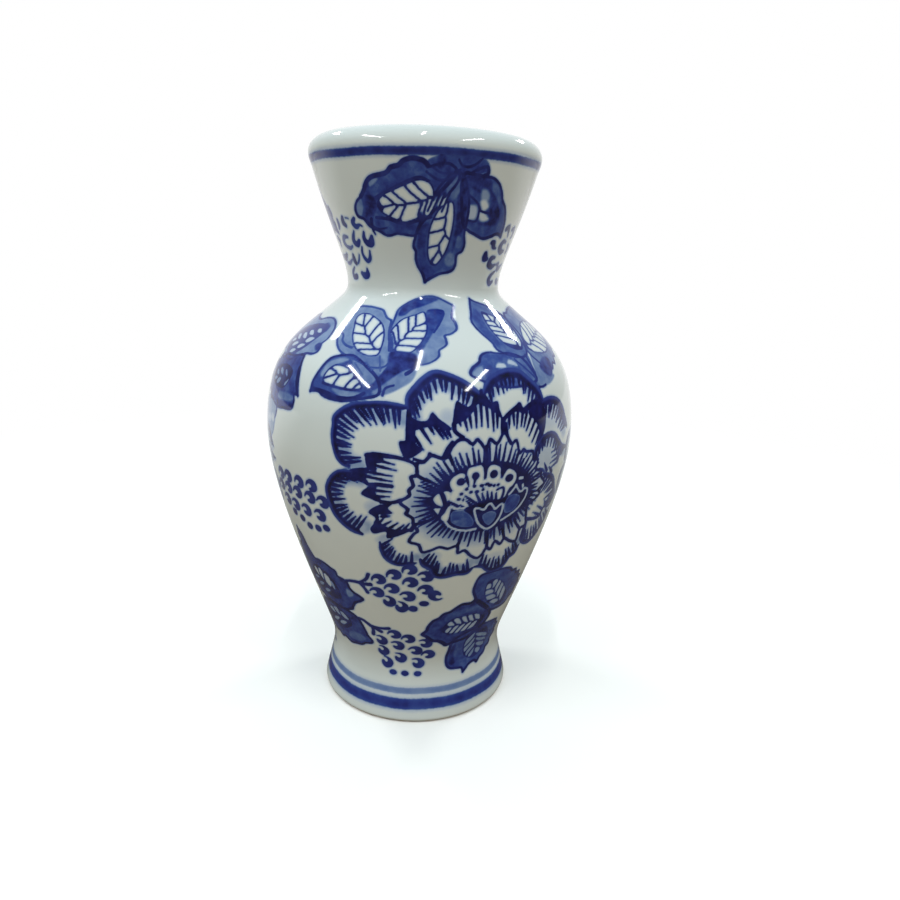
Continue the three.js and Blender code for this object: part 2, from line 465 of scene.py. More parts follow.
def decorate(piece, outside, along, columns):
    """Paints the outside of a section and keeps the painting in its mesh, as three numbers a point: how
    near a line is (0.5 at its edge, more inside it), how dark that line is, and how dark the wash is."""
    vertices = piece.data.vertices
    rows = len(outside)
    turn = columns_round(columns)
    ground = Ground(
        np.broadcast_to(turn, (rows, columns)),
        np.broadcast_to(along[:, None], (rows, columns)),
        np.broadcast_to(outside[:, :1], (rows, columns)))
    paint(ground)
    kept = np.zeros((len(vertices), 4))
    kept[:, 3] = 1.0
    painted_points = rows * columns
    kept[:painted_points, 0] = np.clip(0.5 - ground.edge / (2 * FAR), 0.0, 1.0)
    kept[:painted_points, 1] = ground.depth
    kept[:painted_points, 2] = ground.wash
    colour = piece.data.color_attributes.new("cobalt", "FLOAT_COLOR", "POINT")
    colour.data.foreach_set("color", kept.reshape(-1).astype(np.float32))


def smooth(points, closed=False, steps=5):
    """A curve through the points. Each span is a cubic whose ends run along the chord between the
    neighbours on either side, and a point that is given twice makes a corner."""
    held = np.array(points, float)
    if closed:
        before = np.roll(held, 1, 0)
        ahead = np.roll(held, -1, 0)
        beyond = np.roll(held, -2, 0)
        here = held
    else:
        padded = np.concatenate([held[:1], held, held[-1:]])
        before = padded[:-3]
        here = padded[1:-2]
        ahead = padded[2:-1]
        beyond = padded[3:]
    t = (np.arange(steps) / steps)[None, :, None]
    leaving = (ahead - before)[:, None] / 2
    arriving = (beyond - here)[:, None] / 2
    span = (here[:, None] * (2 * t**3 - 3 * t**2 + 1) + leaving * (t**3 - 2 * t**2 + t)
            + ahead[:, None] * (3 * t**2 - 2 * t**3) + arriving * (t**3 - t**2))
    curve = span.reshape(-1, 2)
    return curve if closed else np.concatenate([curve, held[-1:]])


def stroke_path(points, closed, steps=5):
    """A smooth curve through the points, and back to its start if it is closed."""
    path = smooth(points, closed, steps)
    return np.concatenate([path, path[:1]]) if closed else path


def travelled(path):
    """Distance along a path at each of its points."""
    return np.concatenate([[0.0], np.cumsum(np.hypot(*np.diff(path, axis=0).T))])


def gap_to_path(x, y, path, half_widths):
    """Distance from each point to a path of straight runs, less the path's half-width there, and what the
    half-width is. The half-width changes evenly along each run."""
    start = path[:-1]
    step = path[1:] - start
    away_x = x[:, None] - start[:, 0]
    away_y = y[:, None] - start[:, 1]
    square = np.maximum((step**2).sum(1), 1e-12)
    share = np.clip((away_x * step[:, 0] + away_y * step[:, 1]) / square, 0.0, 1.0)
    half = half_widths[:-1] + share * np.diff(half_widths)
    gap = np.hypot(away_x - share * step[:, 0], away_y - share * step[:, 1]) - np.maximum(half, THINNEST)
    nearest = gap.argmin(1)
    row = np.arange(len(x))
    return gap[row, nearest], half[row, nearest]


def is_inside(x, y, outline):
    """Which points lie inside a closed outline: a ray to their right crosses it an odd number of times."""
    ahead = np.roll(outline, -1, 0)
    rise = ahead[:, 1] - outline[:, 1]
    rise = np.where(rise == 0.0, 1e-9, rise)
    spans = (outline[:, 1] > y[:, None]) != (ahead[:, 1] > y[:, None])
    crossing = outline[:, 0] + (y[:, None] - outline[:, 1]) / rise * (ahead[:, 0] - outline[:, 0])
    return (spans & (crossing > x[:, None])).sum(1) % 2 == 1


def gap_to_shape(x, y, outline):
    """Distance from each point to a closed outline, below zero inside it."""
    loop = np.concatenate([outline, outline[:1]])
    gap = gap_to_path(x, y, loop, np.zeros(len(loop)))[0] + THINNEST
    return np.where(is_inside(x, y, outline), -gap, gap)


def drop(start, end, width):
    """A leaf cell's path and half-widths: a drop whose point is at the midrib."""
    first = np.array(start, float)
    last = np.array(end, float)
    way = (last - first) / max(np.hypot(*(last - first)), 1e-9)
    share = np.array([0.0, 0.2, 0.45, 0.75, 1.0])
    half = width * np.array([0.18, 0.36, 0.52, 0.56, 0.36])
    return first + way * 0.1 * width + share[:, None] * (last - first - way * 0.4 * width), half


class Ground:
    """The outside of one section as points that take the painting. Each has its angle round the vase, its
    distance up along the surface and its radius. edge is how far it lies from the edge of the nearest line,
    below zero inside the line; depth is how dark that line is, which only shows near it; and wash is how
    dark the thin colour is."""

    def __init__(self, angle, along, radius):
        self.angle = angle.ravel()
        self.along = along.ravel()
        self.radius = radius.ravel()
        self.edge = np.full(self.angle.size, FAR)
        self.depth = np.full(self.angle.size, 0.9)
        self.wash = np.zeros(self.angle.size)


class Motif:
    """The points of a ground round one place, laid flat: x to the right and y up, in millimetres. x is the
    angle from the place times the radius there, and y the distance up along the surface, less the motif's
    height. low and high bound that distance, and size makes the whole motif larger or smaller."""

    def __init__(self, ground, degrees, height=0.0, low=0.0, high=230.0, size=1.0):
        self.ground = ground
        self.size = size
        off = (ground.angle - np.radians(degrees) + np.pi) % (2 * np.pi) - np.pi
        across = off * ground.radius
        close = np.abs(across) < MOTIF_REACH
        self.kept = np.flatnonzero(close & (ground.along > low) & (ground.along < high))
        self.x = across[self.kept] / size
        self.y = (ground.along[self.kept] - height) / size
        self.chance = np.random.default_rng(int(degrees * 10) % 1000 + int(height))

    def near(self, path, margin):
        """The points in the upright box that holds the path, with a margin all round."""
        low = path.min(0) - margin
        high = path.max(0) + margin
        return np.flatnonzero(
            (self.x > low[0]) & (self.x < high[0]) & (self.y > low[1]) & (self.y < high[1]))

    def lay(self, near, gap, depth):
        """A line goes on top: where it is nearer than the lines before, it sets the distance and depth."""
        at = self.kept[near]
        gap = gap * self.size
        won = gap < self.ground.edge[at]
        depth = np.broadcast_to(depth, gap.shape)
        self.ground.edge[at[won]] = gap[won]
        self.ground.depth[at[won]] = depth[won]

    def lift(self, near, gap, wash):
        """Lines and thin colour come off where the gap is below zero, and a wash of its own stays there."""
        at = self.kept[near]
        gap = gap * self.size
        self.ground.edge[at] = np.minimum(np.maximum(self.ground.edge[at], -gap), FAR)
        cover = np.clip(0.5 - gap / SPARED_FADE, 0.0, 1.0)
        self.ground.wash[at] += (wash - self.ground.wash[at]) * cover

    def line(self, points, width, depth, closed=False, steps=5):
        """A brush line through the points. width is its full width, one number or one for each of some
        places spread evenly along it."""
        path = stroke_path(points, closed, steps)
        widths = np.atleast_1d(np.array(width, float))
        share = travelled(path)
        share = share / max(share[-1], 1e-9)
        half = np.interp(share, np.linspace(0, 1, len(widths)), widths) / 2
        near = self.near(path, half.max() + FAR)
        if near.size:
            gap, fullness = gap_to_path(self.x[near], self.y[near], path, half)
            paler = 0.55 + 0.45 * np.clip(fullness / THINNEST, 0.0, 1.0)
            self.lay(near, gap, depth * paler)

    def deepen(self, path, half_widths, depth):
        """Darker colour along the middle of a broad stroke, fading into it."""
        near = self.near(path, np.max(half_widths) + MIDDLE_FADE)
        if near.size:
            gap = gap_to_path(self.x[near], self.y[near], path, half_widths)[0]
            at = self.kept[near]
            cover = np.clip(0.5 - gap / MIDDLE_FADE, 0.0, 1.0)
            self.ground.depth[at] += np.maximum(depth - self.ground.depth[at], 0.0) * cover

    def cell(self, start, end, width, wash=0.0):
        """One pale cell of a leaf."""
        path, half = drop(start, end, width)
        near = self.near(path, width / 2 + 1.0)
        if near.size:
            self.lift(near, gap_to_path(self.x[near], self.y[near], path, half)[0], wash)

    def cells(self, outline, cells, wash, grown):
        """The pale cells of a leaf's blade. Each is a drop that has grown outwards by a distance, unless it
        meets the vein midway to its neighbour or the margin inside the blade's outline."""
        shape = smooth(outline, True)
        near = self.near(shape, 0.5)
        if near.size == 0:
            return
        x = self.x[near]
        y = self.y[near]
        gaps = np.sort([gap_to_path(x, y, *drop(*cell))[0] for cell in cells], 0)
        gap = np.maximum(gaps[0] - grown, gap_to_shape(x, y, shape) + BLADE_MARGIN)
        if len(cells) > 1:
            gap = np.maximum(gap, HALF_VEIN - (gaps[1] - gaps[0]) / 2)
        self.lift(near, gap, wash)

    def blot(self, points, depth):
        """A closed shape filled with the darkness of a line."""
        outline = smooth(points, True)
        near = self.near(outline, FAR)
        if near.size:
            self.lay(near, gap_to_shape(self.x[near], self.y[near], outline), depth)

    def spare(self, points, wash=0.0, corners=False):
        """A closed shape that is left unpainted, or keeps only a thin wash. With corners its sides are
        straight."""
        outline = np.array(points, float) if corners else smooth(points, True)
        near = self.near(outline, 1.0)
        if near.size:
            self.lift(near, gap_to_shape(self.x[near], self.y[near], outline), wash)

    def spare_line(self, points, width, closed=False, wash=0.0):
        """A line that is left unpainted."""
        path = stroke_path(points, closed)
        near = self.near(path, width / 2 + 1.0)
        if near.size:
            half = np.full(len(path), width / 2)
            self.lift(near, gap_to_path(self.x[near], self.y[near], path, half)[0], wash)

    def tint(self, points, wash, soft=0.6):
        """A closed shape of thin colour, whose edge fades over the soft distance."""
        outline = smooth(points, True)
        near = self.near(outline, soft)
        if near.size:
            gap = gap_to_shape(self.x[near], self.y[near], outline)
            cover = np.clip(0.5 - gap / soft, 0.0, 1.0)
            at = self.kept[near]
            self.ground.wash[at] += (wash - self.ground.wash[at]) * cover

    def pool(self, x, y, across, up, wash):
        """Thin colour gathered round a place, fading out over an oval."""
        cover = np.clip(1.0 - ((self.x - x) / across) ** 2 - ((self.y - y) / up) ** 2, 0.0, 1.0)
        at = self.kept
        self.ground.wash[at] += (wash - self.ground.wash[at]) * cover


def petal(motif, edge, focus, margin, reach, spacing, halo=0.38, depth=0.95, fringe=0.76):
    """A petal's dark margin, with strokes that taper from it towards a focus. edge follows the outside of
    the margin, and margin is its width. The strokes stand a spacing apart and go on beyond the margin by
    about the reach, with thin colour as dark as the halo between them. The margin is as dark as the depth
    along its middle and as the fringe at its edges."""
    outside = smooth(edge)
    aim = np.array(focus, float) - outside
    aim /= np.hypot(aim[:, 0], aim[:, 1])[:, None]
    length = travelled(outside)
    ends = np.clip(np.minimum(length, length[-1] - length) / 3.0, 0.0, 1.0)
    # The margin narrows over the last 3 mm at either end
    half = margin / 2 * (0.45 + 0.55 * ends)
    middle = outside + aim * half[:, None]
    near = motif.near(middle, margin / 2 + reach)
    if near.size == 0:
        return
    blush = outside + aim * (margin + reach * 0.3)
    gap = gap_to_path(motif.x[near], motif.y[near], blush, np.full(len(blush), reach * 0.25))[0]
    at = motif.kept[near]
    cover = np.clip(1.0 - gap / (reach * 0.45), 0.0, 1.0)
    motif.ground.wash[at] = np.maximum(motif.ground.wash[at], halo * cover)
    motif.lay(near, gap_to_path(motif.x[near], motif.y[near], middle, half)[0], fringe)
    # The strokes, each a little out of its even place and of a length of its own
    count = max(2, int(round(length[-1] / spacing)))
    for k in range(count):
        place = length[-1] * (0.04 + 0.92 * (k + 0.5 + 0.3 * (motif.chance.random() - 0.5)) / count)
        start = np.array([np.interp(place, length, outside[:, i]) for i in (0, 1)])
        way = np.array(focus, float) - start
        way /= np.hypot(*way)
        side = np.array([-way[1], way[0]]) * 0.5 * (motif.chance.random() - 0.5)
        far = margin + reach * (0.7 + 0.45 * motif.chance.random())
        halfway = start + way * (margin + far) / 2 + side
        bent = [start + way * margin * 0.6, halfway, start + way * far + 2 * side]
        motif.line(bent, [spacing * 0.58, spacing * 0.52, 0.5], depth - 0.03)
    motif.deepen(outside + aim * half[:, None] * 1.35, half * 0.55, depth)


def hatches(motif, strokes, width, depth=0.95):
    """Single tapering strokes, each given by its two ends."""
    for start, end in strokes:
        motif.line([start, end], [width, width * 0.9, 0.45], depth)


def outer_petals(motif):
    """The petals round the left, the bottom and the top of the flower, which have broad dark margins."""
    petal(motif, [
        (-22, 126), (-26, 126.8), (-30, 127), (-35, 126.5), (-40, 125.6), (-44, 123.4), (-46.6, 121),
        (-46.9, 118.6), (-47.5, 115.5), (-47.1, 112), (-46, 108.8), (-44.2, 107), (-41.5, 106)],
        (-26, 110), 2.2, 5.6, 2.3)
    petal(motif, [
        (-40.3, 105), (-44.7, 104.3), (-47.6, 102.5), (-49.6, 99.2), (-49.9, 96.5), (-48.8, 92.4),
        (-46.5, 88), (-43, 84.8), (-39.4, 82.8), (-36, 82.2)], (-31, 98), 2.5, 5.0, 2.35)
    petal(motif, [
        (-30.1, 80.3), (-29.5, 77), (-28, 74), (-25.5, 71.9), (-22, 71.2), (-17.5, 72.4)],
        (-19, 90), 1.7, 3.6, 2.1)
    petal(motif, [
        (-16.6, 74), (-15.3, 71.2), (-12.4, 69.2), (-10.6, 66.4), (-7.5, 65.7), (-3.5, 66.5), (0.2, 66.4),
        (2, 68.6)], (-6, 92), 2.2, 3.8, 2.2)
    petal(motif, [
        (2.3, 69), (5.6, 68.1), (7.9, 66), (11, 65), (15, 66), (17, 69), (19.6, 70.2), (20.8, 73.5)],
        (9, 92), 1.9, 4.2, 2.2)
    petal(motif, [
        (1.2, 130.6), (3.2, 134), (6.5, 136), (11, 137), (15.5, 136.2), (19.3, 133.2), (23, 130),
        (25, 126)], (9, 104), 3.4, 3.4, 2.2)
    petal(motif, [
        (-22.3, 125.5), (-22, 129.5), (-19, 133), (-16, 135.6), (-12.8, 137.2), (-9, 136.2), (-5, 134.2),
        (-1.6, 131.5), (0.6, 129)], (-12, 104), 3.0, 4.2, 2.3)
    for x, y, across, up, wash in (
            (-33, 93.6, 3.4, 2.8, 0.24), (-28.6, 81.4, 3.4, 2.2, 0.26), (-10.8, 122.6, 3.2, 3.4, 0.2),
            (-36, 84.6, 2, 3, 0.24), (-12, 75.6, 3, 2.4, 0.2), (9.6, 72.6, 5, 2, 0.14)):
        motif.pool(x, y, across, up, wash)


def right_petals(motif):
    """The petals that turn away to the right, which were painted with a drier, paler brush."""
    motif.tint([(23, 122), (30, 123), (37, 119), (40, 113), (33, 115), (26, 115.6)], 0.16, 4.0)
    motif.tint([(22, 112), (28, 112.6), (35, 108), (36, 102), (28, 101.6), (22, 104)], 0.17, 4.0)
    petal(motif, [
        (22.6, 124.6), (26, 125.8), (30, 125.9), (34, 124.8), (37, 123), (39.4, 120.4), (41, 117.4),
        (43.4, 113.8)], (24, 108), 2.7, 4.6, 2.4, 0.3, 0.94, 0.82)
    motif.blot([(38.6, 121), (41.4, 117), (43.6, 113.6), (41.4, 113.8), (38.4, 115.4), (37.4, 118.4)], 0.84)
    petal(motif, [
        (20.4, 108.4), (21.2, 111), (24, 113.8), (28, 114.7), (32, 113.8), (36, 110.6), (38.8, 108.4),
        (44, 106.7)], (24, 92), 2.2, 3.0, 2.4, 0.3, 0.94, 0.82)
    hatches(motif, [
        ((37, 108.2), (30, 107.2)), ((37.4, 106.4), (30.6, 105.4)), ((36.6, 104.6), (30, 103.6)),
        ((36, 102.8), (30.4, 101.8))], 1.1, 0.84)
    motif.blot([(36, 109.4), (40, 107.4), (37.6, 105.6), (36.4, 103), (34.6, 103.6), (35, 106.4)], 0.84)
    hatches(motif, [
        ((25.6, 113.6), (24.4, 109.4)), ((28, 114), (27, 109.8)), ((30.4, 113.4), (29, 109.6)),
        ((33, 112), (30.6, 108.8)), ((23.6, 112.4), (22.8, 109)), ((35.6, 121.6), (32.6, 116.8)),
        ((37.6, 119), (34.2, 115.4)), ((28.4, 101.2), (26.2, 104.4)), ((32, 100), (29.4, 102.4))], 1.3, 0.9)
    motif.line([(20.6, 102.8), (25, 102.5), (27, 100.8)], [1.1, 0.9], 0.78)
    petal(motif, [
        (26.6, 101), (31, 99.8), (34, 98.2), (36, 96), (38.4, 92), (41, 88.2), (37.4, 85.6)],
        (22, 89), 2.0, 6.0, 2.4, 0.22, 0.9, 0.78)
    motif.line([
        (21.2, 84.6), (25, 83.6), (29.6, 83.2), (31.8, 86.4), (36.6, 85.4), (40.8, 88.4)],
        [1.5, 1.2, 1.4], 0.84)
    hatches(motif, [
        ((31, 85.6), (26.4, 88.4)), ((29.4, 83.8), (24.4, 86.4)), ((34.6, 85.8), (30.6, 89.4)),
        ((37.6, 86), (33.6, 89))], 1.2, 0.8)
    petal(motif, [
        (20.6, 79), (21, 75.6), (23.4, 73.2), (27.4, 72.4), (32.2, 74.6), (36.6, 78.4), (38.4, 83)],
        (22, 96), 2.0, 5.4, 2.4, 0.22, 0.88, 0.76)


def second_petals(motif):
    """The petals within the outer ones: dark shapes between them, thin outlines and short strokes."""
    # Upper left, with a dark corner and three points
    motif.line([(-21.8, 126), (-22.3, 121.5), (-22.4, 116)], [1.4, 1.8, 2.2], 0.95)
    motif.blot([
        (-22.6, 120), (-22.7, 116), (-25.3, 115.3), (-24.9, 112.6), (-23.6, 110.4), (-21.4, 110.7),
        (-18.3, 113.3), (-20.4, 114.8), (-20.6, 119.6)], 0.93)
    motif.blot([
        (-22.2, 123), (-19.8, 121.8), (-17, 121.8), (-15.3, 124.2), (-13.4, 122.4), (-9.6, 119.3),
        (-12, 118.9), (-14.6, 120), (-18, 119.6), (-21, 119)], 0.93)
    motif.line([
        (-21, 110.2), (-17.7, 109.5), (-16.3, 111.7), (-16.3, 111.7), (-13.6, 110.4), (-12.3, 110.8),
        (-11.1, 113.2), (-9.6, 115.3)], [0.9, 1.1, 1.1], 0.93)
    hatches(motif, [
        ((-19, 119.8), (-15.9, 115)), ((-20.8, 116.8), (-18.2, 113)), ((-14.6, 120), (-12.2, 116.4)),
        ((-16.4, 120.2), (-15, 117.8)), ((-12.8, 119.4), (-10.9, 116.4)), ((-11, 118.8), (-9.9, 116.8))],
        1.15)
    # Left, with two tiers of hatches
    motif.line([
        (-20.2, 107.6), (-21.3, 109), (-25, 110.3), (-29, 110.7), (-33, 110.9), (-35.4, 110.4)],
        [0.9, 1.1, 1.5, 1.5], 0.93)
    motif.blot([
        (-35.6, 110.5), (-31, 110.6), (-30, 108.8), (-32.4, 108), (-32.2, 105.8), (-35, 106.2)], 0.93)
    motif.blot([
        (-40.8, 105.4), (-35, 106.5), (-35, 104.8), (-36.4, 104.2), (-35.2, 102.6), (-33.8, 100.6),
        (-35.4, 100.9), (-38.6, 103)], 0.93)
    motif.blot([
        (-37, 97.8), (-34.4, 100.6), (-31.8, 101.8), (-32.4, 99), (-31, 96.8), (-29, 95.6), (-31, 95.4),
        (-34, 96.4)], 0.93)
    hatches(motif, [
        ((-32.4, 109.4), (-26.8, 108.2)), ((-33, 107.6), (-26.2, 106.4)), ((-36, 105.4), (-27.4, 104.5)),
        ((-36.6, 103.9), (-27.4, 102.8)), ((-33, 99.4), (-27.4, 99.3)), ((-33, 97.4), (-27.9, 97.6))], 1.05)
    motif.line([(-34.4, 101.2), (-31, 101.4), (-27.3, 101.2)], [1.2, 1.5, 1.2], 0.93)
    motif.line([(-30.4, 95.6), (-27, 95.7), (-24.4, 96.6)], [1.4, 1.1, 1.5], 0.95)
    # Lower left
    motif.blot([
        (-34.3, 91.6), (-31.2, 94.4), (-27, 95.3), (-28.2, 93.6), (-26.6, 91.9), (-29, 91.2), (-30.9, 91),
        (-30.6, 88.6), (-31.2, 86.8), (-32.4, 87.4), (-31.9, 89.6)], 0.93)
    motif.blot([
        (-33.3, 85), (-31.8, 83.6), (-28.2, 84.8), (-27.6, 82.3), (-24, 83.6), (-19.6, 86.4), (-22, 86.4),
        (-25, 85.9), (-28.4, 86.8), (-31, 88.2), (-32.5, 87)], 0.93)
    motif.line([(-20.4, 86), (-19.4, 88.4), (-20.2, 90.4)], [1.6, 1.4, 1.2], 0.95)
    hatches(motif, [
        ((-31, 87.2), (-29.3, 89.8)), ((-29.6, 86.8), (-26.9, 88.9)), ((-27.4, 86), (-24.8, 88.4)),
        ((-25, 85.4), (-22.8, 87.8)), ((-23, 85.4), (-21.2, 88.4)), ((-30, 90.4), (-27.4, 90.6))], 1.05)
    # Upper right
    motif.line([
        (7.6, 117.6), (7.2, 120.8), (9.6, 122.8), (13.4, 124.7), (13.4, 124.7), (15, 123), (17.4, 124),
        (21, 125.1), (24, 124)], [1.1, 1.5, 1.9, 2.0, 2.2], 0.95)
    motif.blot([
        (18.6, 124), (24.4, 124.4), (25.8, 120.6), (25.6, 117), (23.8, 113.4), (20.4, 110.4), (22.4, 114),
        (21.8, 117), (20, 119.6), (17.4, 121.6)], 0.93)
    hatches(motif, [
        ((9.4, 122), (9.2, 118.4)), ((11, 122.8), (11.2, 119)), ((12.8, 123.4), (12.2, 118)),
        ((14.8, 122.6), (14, 118.4)), ((16.6, 122.6), (15.2, 118)), ((18.6, 121.6), (16.2, 116.8)),
        ((20.4, 119.8), (17.5, 115)), ((21.8, 117.4), (18.9, 112.8)), ((22.6, 115), (20.6, 111.8))], 1.15)
    motif.line([(8, 119.8), (8.7, 116), (9.8, 113.8)], [1.2, 1.0, 1.3], 0.94)
    # Top middle, a dark crown with upright strokes
    motif.blot([
        (-9.2, 120), (-9.1, 123), (-7.8, 127.4), (-5.8, 126.3), (-4, 125.8), (-1.8, 128.2), (0.3, 131),
        (1.9, 128.6), (3.3, 126.7), (5.5, 126.8), (6.1, 124), (7.2, 121), (5.9, 122), (4.6, 123.2),
        (3.2, 124.2), (2.4, 125), (0.8, 125.6), (-0.4, 126.4), (-1.6, 126), (-2.6, 124.4), (-4.2, 123),
        (-5.6, 121.6), (-7.4, 121.2)], 0.93)
    motif.line([(-9, 120.6), (-8.6, 118.4), (-6.2, 116.6)], [1.5, 1.2, 1.1], 0.95)
    motif.line([(6.9, 121.4), (6.6, 118.6), (6.9, 116.8)], [1.3, 1.0, 1.0], 0.95)
    hatches(motif, [
        ((-7.6, 122), (-6.9, 120.2)), ((-5.8, 122.6), (-4.9, 118.7)), ((-4.2, 123.8), (-3.6, 119.4)),
        ((-2.1, 125.2), (-2, 119.4)), ((-0.3, 126.8), (-0.3, 119.7)), ((1.5, 126), (1.8, 119.3)),
        ((3.5, 124.6), (3.7, 118)), ((5.1, 123.6), (5, 118.9))], 1.1)


# The scalloped outline of the petals round the heart
RING = [
    (-20, 109), (-20, 106.3), (-20, 105), (-21.8, 104.5), (-20.9, 101.8), (-22.2, 100.2), (-21.9, 98.3),
    (-24.7, 96), (-21.9, 93.6), (-22.6, 92), (-20.4, 90.5), (-19.8, 87.8), (-18.3, 85.8), (-19.5, 84.4),
    (-20.6, 81.5), (-17.4, 80.3), (-16.1, 77.4), (-13.3, 78.1), (-10.8, 79.3), (-8, 78.5), (-5, 79.4),
    (-4.4, 76.4), (-2.3, 77.2), (0, 74.8), (2.7, 73.1), (4.5, 74.5), (5.6, 77), (7.3, 75.9), (8.5, 79),
    (11, 77.2), (12.3, 79.3), (15.2, 77.3), (18.3, 76.6), (18.9, 81.4), (21.6, 82.2), (20.8, 85.5),
    (20.3, 90), (23.5, 91.6), (26.2, 93.5), (24.8, 95.2), (28, 97), (25, 100.2), (25, 102.4), (21.8, 103.2),
    (22.4, 106.4), (20, 106.9), (19.6, 109.6), (16.5, 110), (15.2, 111), (13.6, 110), (12.2, 114.2),
    (10, 113.4), (7.5, 117.3), (5, 114), (2.4, 115.6), (1.2, 112.6), (-1.6, 115.8), (-3.2, 114.4),
    (-5.5, 116), (-7.9, 115.7), (-9.9, 113.6), (-11.4, 110.6), (-13.5, 110.7), (-15.8, 111.4), (-18, 109.4)]


def oval(centre, half_width, half_height, count=40):
    """The corners of an ellipse."""
    turn = np.linspace(0.0, 2.0 * np.pi, count, endpoint=False)
    return np.stack([centre[0] + half_width * np.cos(turn), centre[1] + half_height * np.sin(turn)], -1)


def inner_ring(motif):
    """The petals round the heart: a scalloped outline, and strokes outwards from a dark oval."""
    ring = np.array(RING, float)
    near = motif.near(ring, 2.0)
    gap = gap_to_shape(motif.x[near], motif.y[near], ring)
    motif.lift(near, gap, 0.04)
    # Thin colour near the oval, fading outwards, and stronger at the lower left
    u = (motif.x[near] - HEART[0]) / HEART_HALF_WIDTH
    v = (motif.y[near] - HEART[1]) / HEART_HALF_HEIGHT
    out = np.hypot(u, v)
    low_left = np.clip(0.7 - 0.25 * v - 0.2 * u, 0.5, 1.0)
    fade = np.clip((1.6 - out) / 0.42, 0.0, 1.0) * 0.42 * low_left
    inside = np.clip(0.5 - gap, 0.0, 1.0)
    at = motif.kept[near]
    motif.ground.wash[at] = np.maximum(motif.ground.wash[at], fade * inside)
    motif.line(RING, [1.15, 1.0, 1.2, 0.95, 1.15], 0.92, closed=True, steps=3)
    # Divisions between the petals
    hatches(motif, [
        ((1.3, 113.4), (1.7, 107)), ((-10.6, 111.6), (-8.6, 107.5)), ((13.4, 110.6), (11.6, 106.5)),
        ((-20.2, 105.2), (-15, 102.4)), ((-19.6, 88), (-13.5, 90.6)), ((-5, 79.2), (-3.6, 85)),
        ((5.6, 77.2), (5, 85)), ((12.3, 79.2), (9.6, 85.6)), ((18.6, 81.6), (14, 87)),
        ((20.3, 90.2), (18, 92)), ((24.9, 101.4), (19, 100))], 1.2)
    # Hatches outwards from the oval
    half_sizes = np.array([HEART_HALF_WIDTH, HEART_HALF_HEIGHT])
    for k in range(HEART_STROKES):
        turn = 2 * np.pi * (k + 0.35 * (motif.chance.random() - 0.5)) / HEART_STROKES
        reach = 3.4 + 2.6 * motif.chance.random()
        aim = np.array([np.cos(turn), np.sin(turn)])
        way = aim / half_sizes
        way /= np.hypot(*way)
        start = np.array(HEART) + aim * half_sizes
        motif.line([start - way, start + way * reach], [1.3, 0.95, 0.5], 0.92)
    motif.blot(oval(HEART, HEART_HALF_WIDTH, HEART_HALF_HEIGHT), 0.92)


